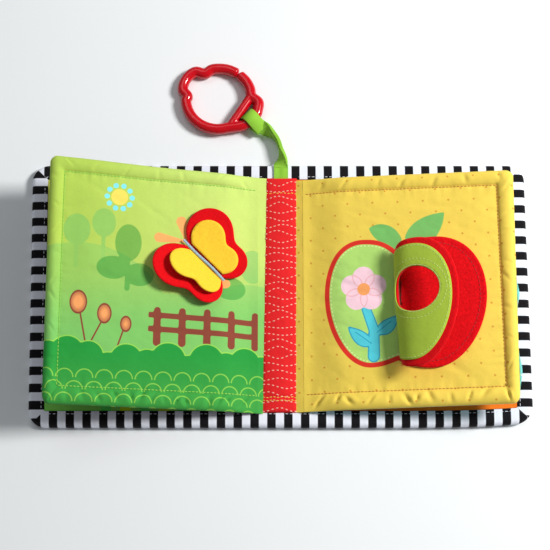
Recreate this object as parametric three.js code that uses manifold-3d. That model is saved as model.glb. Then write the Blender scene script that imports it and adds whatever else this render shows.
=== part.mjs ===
// A soft cloth activity book, lying open at its middle: two padded covers joined by a spine,
// one padded leaf on each side, a felt butterfly, a felt apple with a flap, and a strap with a link ring.
// Millimetres. X runs across the open book, Y along its spine, Z up from the surface it lies on.
// The origin is the centre of the spine's outer face.
import * as THREE from 'three';
import { mergeVertices } from 'three/addons/utils/BufferGeometryUtils.js';
import Module from 'manifold-3d';

const wasm = await Module();
wasm.setup();

// Clearances
const touchGap = 0.3;            // between pieces that lie on each other
const foldGap = 0.2;             // each side of a fold between the spine and a cover
const leafGap = 0.4;             // between a cover and a leaf pressed flat on it
const floorGap = 0.1;            // under the ring and the strap's loop

// Covers and spine
const coverReach = 172;          // from the spine's centre line to a cover's outer edge
const coverHeight = 187;
const coverThickness = 6;
const coverCornerRadius = 12;
const coverSkin = 1;             // outer fabric, and lining
const foldX = 13;                // the line that a cover turns about
const foldZ = 5;
const bindingWidth = 11;         // face of the striped tape that wraps the rim
const bindingTape = 1;
const bindingWall = 1.6;         // the tape's fold, past the edges of the fabrics
const bindingRounding = 1.2;
const rimStep = 1.5;             // run over which the fabrics draw in under the tape

// Red strip down the spine
const stripHalfWidth = 10.7;
const stripLap = 3;              // over the binding at each end
const stripHeight = coverHeight - 2 * bindingWidth + 2 * stripLap;
const stripEdge = 0.8;           // thickness at its long edges
const stripCrown = 1.5;          // how much its middle stands above them

// Leaves
const leafRootX = 16;            // the line that a leaf turns about
const leafReach = 161;           // from the spine's centre line to a leaf's outer edge
const leafHeight = 169;
const leafCornerRadius = 8;
const leafSkin = 0.9;
const borderThickness = 8;       // puffed border outside the topstitching
const middleThickness = 6;
const channelThickness = 3.4;    // where the topstitching pulls the leaf in
const edgeThickness = 1.6;       // at the sewn outer edge, and at the root
const stitchInset = 12;
const channelWidth = 1.4;
const threadWidth = 0.8;
const threadHeight = 0.6;
const crownRun = 20;             // from the stitch line to the full middle
const rootTaper = 15;            // from the root to the full thickness
const leftLeafAngle = 12;        // how far each leaf stands up from its cover
const rightLeafAngle = 7.5;

// Butterfly on the left leaf, its seam turned by butterflyTurn
const butterflyX = -55.3;
const butterflyY = 20.3;
const butterflyTurn = -43.5;
const seamLength = 39;
const seamWidth = 2.6;
const seamHeight = 2;
const redFelt = 1.4;
const yellowFelt = 1.3;
const wingRoot = 0.4;            // from a wing's hinge line to its felt
const redHingeOffset = 1.8;      // hinge lines, from the middle of the seam
const yellowHingeOffset = 3;
const redFore = { s: -11.7, t: 17.8, r: 17.2 };
const redHind = { s: 13.6, t: 12.8, r: 12.4 };
const yellowFore = { s: -9.5, t: 13.8, r: 12.2 };
const yellowHind = { s: 10, t: 10.2, r: 9.8 };
const leftRedAngle = 10;         // felt angles at rest, each from the layer below
const leftYellowAngle = 14;
const rightRedAngle = 4;
const rightYellowAngle = 3;

// Apple on the right leaf
const appleX = 80.5;
const appleY = -8.7;
const appleHalfWidth = 60.5;
const appleHeight = 91;
const appleFelt = 1.4;
const appleInner = 3.5;          // from the centre line to the sewn half
const flapWidth = 51;
const flapHeight = 88;
const flapDrop = 3.4;            // how much lower the flap's middle is than the apple's
const flapRoot = 1.6;            // from the centre line to the flap
const flapRim = 4.5;             // felt that shows past the flap's lining
const flapHingeHeight = 2.2;     // above the leaf
const flapLining = 0.8;
const flapFelt = 1.3;
const flapLayerGap = 0.25;
const flapAngle = 154;           // how far the flap is turned from closed
const flapHoleWidth = 34.4;
const flapHoleHeight = 31.2;
const flapHoleFromHinge = 21.3;
const flapHoleUp = 8.2;
const hingeSeamWidth = 1.6;
const hingeSeamLength = 76;

// Strap and link ring
const strapWidth = 10;
const strapLayer = 1.1;          // one of the tape's two layers
const anchorLength = 18.7;       // stretch that is sewn under the strip
const strapPastEdge = 1.5;       // from the book's top edge to the line the strap turns about
const strapRoot = 0.6;
const strapPocket = 0.3;
const ringBar = 7.8;             // diameter of the ring's plastic bar
const chordBar = 6.8;
const ringRadius = 23.1;         // main loop, to the middle of the bar
const ringX = -44.9;
const ringY = 149;
const ringGapAt = 60;            // snap gap in the main loop: its middle, and its width, in degrees
const ringGapAngle = 5;
const earRadius = 10.5;          // bulge in the main loop, to the middle of the bar
const earOffset = 19;
const earAngle = 146;
const earSpan = 96;              // degrees of the ear's own arc
const chordFrom = 1;             // the straight bar's ends, in degrees round the main loop
const chordTo = -66;
const loopBore = 9.2;            // strap loop round the ring's bar
const loopBand = 1.2;
const loopX = -21.3;
const loopY = 131.3;

const radians = THREE.MathUtils.degToRad;
const smooth = (value) => THREE.MathUtils.smoothstep(value, 0, 1);
const lerp = THREE.MathUtils.lerp;

const colours = {
  leafGreen: '#a6d84e', leafYellow: '#f2d74e', leafBack: '#6ed0d8', leafBrown: '#2a1c18',
  batting: '#f4f2ec', red: '#dd1424', yellow: '#ffd42a', seam: '#a9cfe6', olive: '#8fb52f',
  binding: '#e8eaf2', coverOuter: '#3fb7c9', liningLeft: '#d8d24c', liningRight: '#f08a40',
  strap: '#8cc83c', ring: '#d8001f', thread: '#c8e86a', threadGold: '#f0b04a'
};

function finish(colour, roughness = 0.9) {
  return new THREE.MeshStandardMaterial({ color: colours[colour], roughness, metalness: 0 });
}

function piece(name, geometry, material) {
  const mesh = new THREE.Mesh(geometry, material);
  mesh.name = name;
  return mesh;
}

// Closed geometry from points and triangles, turned so that its faces point out
function closedGeometry(points, triangles) {
  const a = new THREE.Vector3();
  let volume = 0;
  for (const [i, j, k] of triangles) {
    volume += a.crossVectors(points[i], points[j]).dot(points[k]);
  }
  const order = volume < 0 ? triangles.map(([i, j, k]) => [i, k, j]) : triangles;
  const geometry = new THREE.BufferGeometry();
  geometry.setAttribute('position', new THREE.Float32BufferAttribute(points.flatMap((p) => p.toArray()), 3));
  geometry.setIndex(order.flat());
  return geometry;
}

// Booleans
function toManifold(geometry) {
  const bare = geometry.clone();
  bare.deleteAttribute('normal');
  bare.deleteAttribute('uv');
  const merged = mergeVertices(bare, 1e-4);
  return new wasm.Manifold(new wasm.Mesh({
    numProp: 3,
    vertProperties: Float32Array.from(merged.attributes.position.array),
    triVerts: Uint32Array.from(merged.index.array)
  }));
}

function fromManifold(solid) {
  const mesh = solid.getMesh();
  const geometry = new THREE.BufferGeometry();
  geometry.setAttribute('position', new THREE.Float32BufferAttribute(mesh.vertProperties, 3));
  geometry.setIndex([...mesh.triVerts]);
  return geometry;
}

const common = (a, b) => fromManifold(toManifold(a).intersect(toManifold(b)));
const joined = (a, b) => fromManifold(toManifold(a).add(toManifold(b)));
const without = (a, b) => fromManifold(toManifold(a).subtract(toManifold(b)));

// A section of [a, b] points carried along frames with an origin and two axes
function sweep(section, frames, closed = false) {
  const points = [];
  const triangles = [];
  const count = section.length;
  for (const frame of frames) {
    for (const [a, b] of section) {
      points.push(frame.origin.clone().addScaledVector(frame.a, a).addScaledVector(frame.b, b));
    }
  }
  const spans = closed ? frames.length : frames.length - 1;
  for (let i = 0; i < spans; i++) {
    const here = i * count;
    const next = ((i + 1) % frames.length) * count;
    for (let j = 0; j < count; j++) {
      const k = (j + 1) % count;
      triangles.push([here + j, here + k, next + k], [here + j, next + k, next + j]);
    }
  }
  if (!closed) {
    const outline = section.map(([a, b]) => new THREE.Vector2(a, b));
    const last = (frames.length - 1) * count;
    const turned = THREE.ShapeUtils.isClockWise(outline);
    for (const [i, j, k] of THREE.ShapeUtils.triangulateShape(outline, [])) {
      const face = turned ? [i, j, k] : [i, k, j];
      triangles.push(face, [last + face[0], last + face[2], last + face[1]]);
    }
  }
  return closedGeometry(points, agreed(triangles));
}

// Triangles of walls and caps, made to agree: each shared edge is used once each way
function agreed(triangles) {
  const byEdge = new Map();
  triangles.forEach((triangle, index) => {
    triangle.forEach((from, corner) => {
      const to = triangle[(corner + 1) % 3];
      const key = Math.min(from, to) + '/' + Math.max(from, to);
      byEdge.set(key, [...(byEdge.get(key) ?? []), index]);
    });
  });
  const result = triangles.map((triangle) => [...triangle]);
  const done = new Set([0]);
  const queue = [0];
  while (queue.length > 0) {
    const index = queue.pop();
    const [i, j, k] = result[index];
    for (const [from, to] of [[i, j], [j, k], [k, i]]) {
      for (const other of byEdge.get(Math.min(from, to) + '/' + Math.max(from, to))) {
        if (done.has(other)) {
          continue;
        }
        const [p, q, r] = result[other];
        if ([[p, q], [q, r], [r, p]].some(([x, y]) => x === from && y === to)) {
          result[other] = [p, r, q];
        }
        done.add(other);
        queue.push(other);
      }
    }
  }
  return result;
}

// Rounded rectangle drawn in by an inset, with the same number of points at every inset
const cornerSteps = 4;
const sideShares = [0.03, 0.09, 0.2];

function ringPoints({ xMin, xMax, yHalf, radius, roundRoot }, inset) {
  const points = [];
  const corner = (x, y, start, rounded) => {
    const r = rounded ? Math.max(radius - inset, 0.2) : 0.2;
    for (let i = 0; i <= cornerSteps; i++) {
      const angle = radians(start + 90 * i / cornerSteps);
      points.push([
        x - Math.sign(Math.cos(radians(start + 45))) * (inset + r) + r * Math.cos(angle),
        y - Math.sign(Math.sin(radians(start + 45))) * (inset + r) + r * Math.sin(angle)
      ]);
    }
  };
  corner(xMax, -yHalf, -90, true);
  corner(xMax, yHalf, 0, true);
  const topStart = points.at(-1)[0];
  const rootEnd = xMin + inset + (roundRoot ? Math.max(radius - inset, 0.2) : 0.2);
  for (const share of [...sideShares].reverse()) {
    points.push([lerp(rootEnd, topStart, share), yHalf - inset]);
  }
  corner(xMin, yHalf, 90, roundRoot);
  corner(xMin, -yHalf, 180, roundRoot);
  for (const share of sideShares) {
    points.push([lerp(rootEnd, topStart, share), -(yHalf - inset)]);
  }
  return points;
}

// Solid between two height fields over an outline
function padSolid(outline, insets, upper, lower) {
  const rings = insets.map((inset) => ringPoints(outline, inset));
  const count = rings[0].length;
  const points = [];
  for (const height of [upper, lower]) {
    for (const ring of rings) {
      points.push(...ring.map(([x, y]) => new THREE.Vector3(x, y, height(x, y))));
    }
  }
  const below = rings.length * count;
  const triangles = [];
  for (let i = 0; i < rings.length - 1; i++) {
    for (let j = 0; j < count; j++) {
      const k = (j + 1) % count;
      const [a, b, c, d] = [i * count + j, i * count + k, (i + 1) * count + k, (i + 1) * count + j];
      triangles.push([a, b, c], [a, c, d]);
      triangles.push([below + a, below + c, below + b], [below + a, below + d, below + c]);
    }
  }
  const inner = (rings.length - 1) * count;
  const cap = rings.at(-1).map(([x, y]) => new THREE.Vector2(x, y));
  for (const [i, j, k] of THREE.ShapeUtils.triangulateShape(cap, [])) {
    triangles.push([inner + i, inner + j, inner + k]);
    triangles.push([below + inner + i, below + inner + k, below + inner + j]);
  }
  for (let j = 0; j < count; j++) {
    const k = (j + 1) % count;
    triangles.push([j, below + j, below + k], [j, below + k, k]);
  }
  return closedGeometry(points, agreed(triangles));
}

// Distance in from the outline's outer, top and bottom sides
function fromOuterEdge({ xMax, yHalf, radius }, x, y) {
  const dx = xMax - x;
  const dy = yHalf - Math.abs(y);
  if (dx < radius && dy < radius) {
    return Math.max(radius - Math.hypot(radius - dx, radius - dy), 0);
  }
  return Math.max(Math.min(dx, dy), 0);
}

// Flat shape with a thickness, from one height to another
function plate(shape, from, to, curveSegments = 8) {
  const geometry = new THREE.ExtrudeGeometry(shape, { depth: to - from, bevelEnabled: false, curveSegments });
  return geometry.translate(0, 0, from);
}

function box(xs, ys, zs) {
  const geometry = new THREE.BoxGeometry(xs[1] - xs[0], ys[1] - ys[0], zs[1] - zs[0]);
  return geometry.translate((xs[0] + xs[1]) / 2, (ys[0] + ys[1]) / 2, (zs[0] + zs[1]) / 2);
}

// Shape in X and Z carried along Y
function prismAlongY(outline, yFrom, yTo) {
  const frames = [yFrom, yTo].map((y) => ({
    origin: new THREE.Vector3(0, y, 0), a: new THREE.Vector3(1, 0, 0), b: new THREE.Vector3(0, 0, 1)
  }));
  return sweep(outline, frames);
}

// Space that each body keeps to, so that a cover folds up or back by a right angle without a clash
const foldReach = 2 * coverThickness;

function spineSpace() {
  const half = foldX - foldGap;
  const below = foldReach * 0.8;
  const above = foldReach * 0.4;
  const outline = [
    [half - below, foldZ - below], [half, foldZ], [half - above, foldZ + above],
    [above - half, foldZ + above], [-half, foldZ], [below - half, foldZ - below]
  ];
  return prismAlongY(outline, -coverHeight, coverHeight);
}

function coverSpace(side) {
  const tip = foldX + foldGap;
  const outline = [
    [side * tip, foldZ], [side * (tip + foldReach), foldZ - foldReach],
    [side * coverReach * 2, foldZ - foldReach], [side * coverReach * 2, foldZ + foldReach],
    [side * (tip + foldReach), foldZ + foldReach]
  ];
  return prismAlongY(outline, -coverHeight, coverHeight);
}

// Covers and spine are one sheet of layers, parted at the folds
const coverOutline = {
  xMin: -coverReach, xMax: coverReach, yHalf: coverHeight / 2, radius: coverCornerRadius, roundRoot: true
};

function coverSheet(bottomSide) {
  const lip = bindingTape + touchGap;
  const tapeEnd = bindingWidth + touchGap;
  const insets = [bindingWall + touchGap, tapeEnd, tapeEnd + rimStep];
  const base = (x, y) => {
    const inset = fromOuterEdge(coverOutline, Math.abs(x), y);
    return lip * (1 - THREE.MathUtils.clamp((inset - tapeEnd) / rimStep, 0, 1));
  };
  return bottomSide
    ? padSolid(coverOutline, insets, (x, y) => base(x, y) + coverSkin, base)
    : padSolid(coverOutline, insets, (x, y) => coverThickness - base(x, y),
      (x, y) => coverThickness - base(x, y) - coverSkin);
}

function coverBatting() {
  const insets = [bindingWidth + rimStep + 3 * touchGap];
  const low = coverSkin + touchGap;
  return padSolid(coverOutline, insets, () => coverThickness - low, () => low);
}

function bindingLoop() {
  const top = coverThickness;
  const section = [
    [bindingRounding, 0], [bindingWidth, 0], [bindingWidth, bindingTape], [bindingWall, bindingTape],
    [bindingWall, top - bindingTape], [bindingWidth, top - bindingTape], [bindingWidth, top],
    [bindingRounding, top], [0, top - bindingRounding], [0, bindingRounding]
  ];
  const up = new THREE.Vector3(0, 0, 1);
  const frames = [];
  const corners = [[1, -1, -90], [1, 1, 0], [-1, 1, 90], [-1, -1, 180]];
  for (const [sx, sy, start] of corners) {
    const x = sx * (coverReach - coverCornerRadius);
    const y = sy * (coverHeight / 2 - coverCornerRadius);
    for (let i = 0; i <= cornerSteps; i++) {
      const angle = radians(start + 90 * i / cornerSteps);
      const out = new THREE.Vector3(Math.cos(angle), Math.sin(angle), 0);
      frames.push({
        origin: new THREE.Vector3(x, y, 0).addScaledVector(out, coverCornerRadius),
        a: out.clone().negate(),
        b: up
      });
    }
  }
  return sweep(section, frames, true);
}

function coverPieces(name, space) {
  const lining = name === 'left' ? 'liningLeft' : 'liningRight';
  return [
    piece(name + '_cover_outer', common(coverSheet(true), space), finish('coverOuter')),
    piece(name + '_cover_batting', common(coverBatting(), space), finish('batting')),
    piece(name + '_cover_lining', common(coverSheet(false), space), finish(lining)),
    piece(name + '_cover_binding', common(bindingLoop(), space), finish('binding'))
  ];
}

// Spine: its layers, the red strip sewn over them and the strap's sewn end
const anchorX = 0.4;
const anchorEnd = coverHeight / 2 + strapPastEdge - touchGap;
const anchorStart = anchorEnd - anchorLength;
const stripBottom = coverThickness + touchGap;

function stripTop(x) {
  return stripBottom + stripEdge + stripCrown * (1 - (x / stripHalfWidth) ** 2);
}

function spineStrip() {
  const steps = 8;
  const outline = [[stripHalfWidth, stripBottom]];
  for (let i = 0; i <= steps; i++) {
    const x = stripHalfWidth * (1 - 2 * i / steps);
    outline.push([x, stripTop(x)]);
  }
  outline.push([-stripHalfWidth, stripBottom]);
  const strip = prismAlongY(outline, -stripHeight / 2, stripHeight / 2);
  const half = strapWidth / 2 + touchGap;
  const pocket = box([anchorX - half, anchorX + half], [anchorStart - touchGap, coverHeight],
    [0, stripBottom + strapLayer + strapPocket]);
  return without(strip, pocket);
}

function spinePieces() {
  const space = spineSpace();
  const binding = common(bindingLoop(), space);
  const upperHalf = box([-coverReach, coverReach], [0, coverHeight], [-coverHeight, coverHeight]);
  const lowerHalf = box([-coverReach, coverReach], [-coverHeight, 0], [-coverHeight, coverHeight]);
  const anchor = box([anchorX - strapWidth / 2, anchorX + strapWidth / 2], [anchorStart, anchorEnd],
    [stripBottom, stripBottom + strapLayer]);
  return [
    piece('spine_outer', common(coverSheet(true), space), finish('coverOuter')),
    piece('spine_batting', common(coverBatting(), space), finish('batting')),
    piece('spine_lining', common(coverSheet(false), space), finish('liningRight')),
    piece('spine_binding_top', common(binding, upperHalf), finish('binding')),
    piece('spine_binding_bottom', common(binding, lowerHalf), finish('binding')),
    piece('spine_strip', spineStrip(), finish('red')),
    piece('strap_anchor', anchor, finish('strap'))
  ];
}

// Leaf, drawn flat for the right side from its hinge line; the left one is its mirror image
const leafWidth = leafReach - leafRootX;
const leafOutline = {
  xMin: 0, xMax: leafWidth, yHalf: leafHeight / 2, radius: leafCornerRadius, roundRoot: false
};
const rootMiddle = coverThickness + leafGap + edgeThickness / 2;
const borderMiddle = coverThickness + leafGap + borderThickness / 2 - rootMiddle;

function leafHalfThickness(x, y) {
  const inset = fromOuterEdge(leafOutline, x, y);
  const borderEnd = stitchInset - channelWidth / 2;
  const crownStart = stitchInset + channelWidth / 2;
  let half;
  if (inset < borderEnd) {
    const share = inset / borderEnd;
    const base = lerp(edgeThickness, channelThickness, share) / 2;
    half = base + (borderThickness / 2 - base) * Math.sqrt(Math.max(Math.sin(Math.PI * share), 0));
  } else {
    const rise = smooth((inset - crownStart) / crownRun);
    half = lerp(channelThickness, middleThickness, Math.sqrt(rise)) / 2;
  }
  return lerp(edgeThickness / 2, half, smooth(x / rootTaper));
}

const leafMiddle = (x) => borderMiddle * smooth(x / rootTaper);
const leafSurface = borderMiddle + middleThickness / 2;
const leafInsets = [
  ...[0, 0.07, 0.21, 0.5, 0.78].map((share) => share * stitchInset), stitchInset - channelWidth / 2,
  ...[0, 0.12, 0.36, 1].map((share) => stitchInset + channelWidth / 2 + share * crownRun)
];

// Half the space that the two fabrics leave for the batting
function leafHollow(x, y) {
  const sewn = smooth(Math.min(fromOuterEdge(leafOutline, x, y), x) / leafInsets[2]);
  const least = lerp(touchGap / 2, touchGap * 1.5, sewn);
  return Math.max(leafHalfThickness(x, y) - leafSkin, least);
}

function leafShell(upward) {
  return padSolid(leafOutline, leafInsets,
    (x, y) => leafMiddle(x) + upward * leafHalfThickness(x, y),
    (x, y) => leafMiddle(x) + upward * leafHollow(x, y));
}

function leafBatting() {
  const half = (x, y) => leafHollow(x, y) - touchGap;
  return padSolid(leafOutline, leafInsets.slice(2), (x, y) => leafMiddle(x) + half(x, y),
    (x, y) => leafMiddle(x) - half(x, y));
}

function leafTopstitch() {
  const height = borderMiddle + channelThickness / 2 + touchGap;
  const section = [[-threadWidth / 2, 0], [threadWidth / 2, 0], [threadWidth / 2, threadHeight],
    [-threadWidth / 2, threadHeight]];
  const up = new THREE.Vector3(0, 0, 1);
  const radius = stitchInset / 6;
  const half = leafHeight / 2 - stitchInset;
  const end = leafWidth - stitchInset;
  const frames = [];
  const station = (x, y, angle) => {
    const out = new THREE.Vector3(Math.cos(angle), Math.sin(angle), 0);
    frames.push({ origin: new THREE.Vector3(x, y, height), a: out, b: up });
  };
  station(rootTaper, -half, -Math.PI / 2);
  for (const [sy, start] of [[-1, -90], [1, 0]]) {
    for (let i = 0; i <= cornerSteps; i++) {
      const angle = radians(start + 90 * i / cornerSteps);
      const x = end - radius + radius * Math.cos(angle);
      station(x, sy * (half - radius) + radius * Math.sin(angle), angle);
    }
  }
  station(rootTaper, half, Math.PI / 2);
  return sweep(section, frames);
}

function mirrored(geometry) {
  const flipped = geometry.clone();
  flipped.scale(-1, 1, 1);
  const index = [...flipped.index.array];
  for (let i = 0; i < index.length; i += 3) {
    [index[i + 1], index[i + 2]] = [index[i + 2], index[i + 1]];
  }
  flipped.setIndex(index);
  return flipped;
}

function leafBody(name, side, angle, front, back, thread) {
  const body = new THREE.Group();
  body.name = name + '_leaf';
  body.position.set(side * leafRootX, 0, rootMiddle);
  body.rotation.y = -side * radians(angle);
  const place = side > 0 ? (geometry) => geometry : mirrored;
  body.add(
    piece(name + '_leaf_front', place(leafShell(1)), finish(front)),
    piece(name + '_leaf_back', place(leafShell(-1)), finish(back)),
    piece(name + '_leaf_batting', place(leafBatting()), finish('batting')),
    piece(name + '_leaf_topstitch', place(leafTopstitch()), finish(thread))
  );
  return body;
}

// Butterfly: s runs along the seam and t away from it
function wingShape(fore, hind, root) {
  const gapS = hind.s - fore.s;
  const gapT = hind.t - fore.t;
  const apart = Math.hypot(gapS, gapT);
  const along = (apart ** 2 + fore.r ** 2 - hind.r ** 2) / (2 * apart);
  const across = Math.sqrt(fore.r ** 2 - along ** 2);
  const notchS = fore.s + (along * gapS - across * gapT) / apart;
  const notchT = fore.t + (along * gapT + across * gapS) / apart;
  const rootStart = fore.s - Math.sqrt(fore.r ** 2 - (fore.t - root) ** 2);
  const rootEnd = hind.s + Math.sqrt(hind.r ** 2 - (hind.t - root) ** 2);
  const angle = (circle, s, t) => Math.atan2(t - circle.t, s - circle.s);
  const shape = new THREE.Shape();
  shape.moveTo(rootStart, root);
  shape.absarc(fore.s, fore.t, fore.r, angle(fore, rootStart, root), angle(fore, notchS, notchT), true);
  shape.absarc(hind.s, hind.t, hind.r, angle(hind, notchS, notchT), angle(hind, rootEnd, root), true);
  shape.closePath();
  return shape;
}

// Felt wing round its own hinge line; side is the sign of t
function wingGeometry(fore, hind, hingeOffset, thickness, side) {
  const geometry = plate(wingShape(fore, hind, hingeOffset + wingRoot), -thickness / 2, thickness / 2, 14);
  geometry.translate(0, -hingeOffset, 0);
  return side > 0 ? geometry : geometry.rotateX(Math.PI);
}

function wingBody(name, side, offset, height, angle, geometry, colour) {
  const body = new THREE.Group();
  body.name = name;
  body.position.set(0, side * offset, height);
  body.rotation.x = side * radians(angle);
  body.add(piece(name + '_felt', geometry, finish(colour, 1)));
  return body;
}

function butterfly() {
  const place = new THREE.Group();
  place.position.set(butterflyX + leafRootX, butterflyY, leafSurface);
  place.rotation.z = radians(butterflyTurn);
  const half = seamWidth / 2;
  const seam = box([-seamLength / 2, seamLength / 2], [-half, half], [touchGap, touchGap + seamHeight]);
  place.add(piece('butterfly_seam', seam, finish('seam')));
  const redHeight = touchGap + redFelt / 2;
  const yellowRise = (redFelt + yellowFelt) / 2 + touchGap;
  for (const [side, label, redAngle, yellowAngle] of [
    [-1, 'left', leftRedAngle, leftYellowAngle], [1, 'right', rightRedAngle, rightYellowAngle]
  ]) {
    const redShape = wingGeometry(redFore, redHind, redHingeOffset, redFelt, side);
    const yellowShape = wingGeometry(yellowFore, yellowHind, yellowHingeOffset, yellowFelt, side);
    const apart = yellowHingeOffset - redHingeOffset;
    const red = wingBody('red_wing_' + label, side, redHingeOffset, redHeight, redAngle, redShape, 'red');
    const yellow = wingBody('yellow_wing_' + label, side, apart, yellowRise, yellowAngle, yellowShape,
      'yellow');
    red.add(yellow);
    place.add(red);
  }
  return place;
}

// Half of an apple's outline, w wide and h up and down, to the right of a line at x = inner
function appleHalfShape(w, h, inner) {
  const shape = new THREE.Shape();
  shape.moveTo(inner, h * 0.82);
  shape.bezierCurveTo(w * 0.14, h * 0.96, w * 0.26, h, w * 0.45, h);
  shape.bezierCurveTo(w * 0.8, h, w, h * 0.62, w, h * 0.12);
  shape.bezierCurveTo(w, -h * 0.42, w * 0.72, -h, w * 0.38, -h);
  shape.bezierCurveTo(w * 0.22, -h, w * 0.12, -h * 0.95, inner, -h * 0.9);
  shape.closePath();
  return shape;
}

function flapGeometry(from, to, rim) {
  const shape = appleHalfShape(flapWidth - rim, flapHeight / 2 - rim, flapRoot);
  const sheet = plate(shape, -to, -from, 8);
  const hole = new THREE.CylinderGeometry(flapHoleHeight / 2, flapHoleHeight / 2, 4 * (to - from), 28);
  hole.rotateX(Math.PI / 2).scale(flapHoleWidth / flapHoleHeight, 1, 1);
  hole.translate(flapHoleFromHinge, flapHoleUp, -(from + to) / 2);
  return without(sheet, hole).rotateY(Math.PI);
}

function apple() {
  const place = new THREE.Group();
  place.position.set(appleX - leafRootX, appleY, leafSurface);
  const half = hingeSeamWidth / 2;
  const seam = box([-half, half], [-hingeSeamLength / 2, hingeSeamLength / 2],
    [touchGap, flapHingeHeight + half]).translate(0, -flapDrop, 0);
  const sewnShape = appleHalfShape(appleHalfWidth, appleHeight / 2, appleInner);
  const sewnHalf = plate(sewnShape, touchGap, touchGap + appleFelt, 8);
  place.add(
    piece('apple_half_felt', sewnHalf, finish('red', 1)),
    piece('flap_hinge_seam', seam, finish('red', 1))
  );
  const flap = new THREE.Group();
  flap.name = 'apple_flap';
  flap.position.set(0, -flapDrop, flapHingeHeight);
  flap.rotation.y = radians(flapAngle);
  const thickness = flapLining + flapLayerGap + flapFelt;
  const liningTop = flapLining - thickness / 2;
  flap.add(
    piece('flap_felt', flapGeometry(liningTop + flapLayerGap, thickness / 2, 0), finish('red', 1)),
    piece('flap_lining', flapGeometry(-thickness / 2, liningTop, flapRim), finish('olive'))
  );
  place.add(flap);
  return place;
}

// Strap: a double tape that turns on edge where it swings round towards the ring.
// Its way is in shares of the run from the book's edge to the loop, and of its width above its lowest run.
const strapWay = [
  [-0.03, 0.14, 0.11], [-0.02, 0.3, 0.03], [0.05, 0.485, 0], [0.185, 0.635, 0], [0.4, 0.74, 0.02],
  [0.61, 0.815, 0.05]
];
const strapHinge = new THREE.Vector3(anchorX, coverHeight / 2 + strapPastEdge, stripBottom + strapLayer / 2);
const loopRadius = loopBore / 2 + loopBand;
const loopCentre = new THREE.Vector3(loopX, loopY, loopRadius + floorGap);
const loopHeading = new THREE.Vector3(-1, 1, 0).normalize();
const loopAxis = new THREE.Vector3(1, 1, 0).normalize();

function strapRoute() {
  const tail = loopCentre.clone().addScaledVector(loopHeading, -loopRadius + loopBand / 2);
  const start = strapHinge.clone().add(new THREE.Vector3(0, strapRoot, 0));
  const lowest = strapWidth / 2 + touchGap;
  const way = strapWay.map(([across, along, rise]) => new THREE.Vector3(
    lerp(strapHinge.x, loopX, across), lerp(strapHinge.y, loopY, along), lowest + rise * strapWidth
  ));
  const route = new THREE.CatmullRomCurve3([start, ...way, tail]);
  const steps = 18;
  const frames = [];
  for (let i = 0; i <= steps; i++) {
    const share = i / steps;
    const heading = i === 0 ? new THREE.Vector3(0, 1, 0) : route.getTangent(share);
    const side = new THREE.Vector3(heading.y, -heading.x, 0).normalize();
    const up = new THREE.Vector3().crossVectors(side, heading);
    const turn = radians(90) * smooth(share / 0.45) * smooth((1 - share) / 0.4);
    frames.push({
      origin: route.getPoint(share),
      a: side.clone().multiplyScalar(Math.cos(turn)).addScaledVector(up, Math.sin(turn)),
      b: up.clone().multiplyScalar(Math.cos(turn)).addScaledVector(side, -Math.sin(turn))
    });
  }
  return frames;
}

function strapGeometry() {
  const w = strapWidth / 2;
  const section = [[-w, -strapLayer], [w, -strapLayer], [w, strapLayer], [-w, strapLayer]];
  const tape = sweep(section, strapRoute());
  const inner = loopBore / 2;
  const profile = [[inner, -w], [loopRadius, -w], [loopRadius, w], [inner, w], [inner, -w]];
  const loop = new THREE.LatheGeometry(profile.map(([x, y]) => new THREE.Vector2(x, y)), 20);
  loop.applyQuaternion(new THREE.Quaternion().setFromUnitVectors(new THREE.Vector3(0, 1, 0), loopAxis));
  loop.translate(loopCentre.x, loopCentre.y, loopCentre.z);
  const bore = new THREE.CylinderGeometry(inner, inner, 2 * strapWidth, 20);
  bore.applyQuaternion(new THREE.Quaternion().setFromUnitVectors(new THREE.Vector3(0, 1, 0), loopAxis));
  bore.translate(loopCentre.x, loopCentre.y, loopCentre.z);
  return joined(without(tape, bore), loop);
}

// Link ring: a round bar with a round ear, a snap gap and a straight bar that makes the strap's eye
const eyeSide = new THREE.Vector3(loopX - ringX, loopY - ringY, 0);

function onCircle(centre, radius, degrees) {
  const angle = radians(degrees);
  return new THREE.Vector3(centre.x + radius * Math.cos(angle), centre.y + radius * Math.sin(angle), 0);
}

function ringRoute() {
  const middle = new THREE.Vector3();
  const ear = onCircle(middle, earOffset, earAngle);
  const straight = strapWidth / 2 + 2 * touchGap;
  const loopArc = (from, to, count) => Array.from({ length: count }, (_, i) => (
    onCircle(middle, ringRadius, lerp(from, to, i / (count - 1)))
  ));
  const earArc = [-0.5, -0.25, 0, 0.25, 0.5].map((share) => (
    onCircle(ear, earRadius, earAngle - share * earSpan)
  ));
  const eyeAt = (along, back) => (
    eyeSide.clone().addScaledVector(loopAxis, along).addScaledVector(loopHeading, back)
  );
  return new THREE.CatmullRomCurve3([
    ...loopArc(ringGapAt - ringGapAngle / 2, chordFrom + 3, 4),
    eyeAt(straight + 0.96 * ringBar, 0.7 * ringBar), eyeAt(straight + 0.45 * ringBar, 0.26 * ringBar),
    eyeAt(straight, 0), eyeAt(0, 0), eyeAt(-straight, 0), eyeAt(-straight - 0.54 * ringBar, 0.26 * ringBar),
    ...loopArc(chordTo - 6, -184, 7),
    ...earArc,
    ...loopArc(-251, ringGapAt - 360 + ringGapAngle / 2, 4)
  ], false, 'centripetal');
}

function barAlong(route, diameter, steps, sides) {
  const shape = new THREE.Shape();
  shape.absarc(0, 0, diameter / 2, 0, 2 * Math.PI, false);
  return new THREE.ExtrudeGeometry(shape, {
    steps, extrudePath: route, curveSegments: sides, bevelEnabled: false
  });
}

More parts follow.
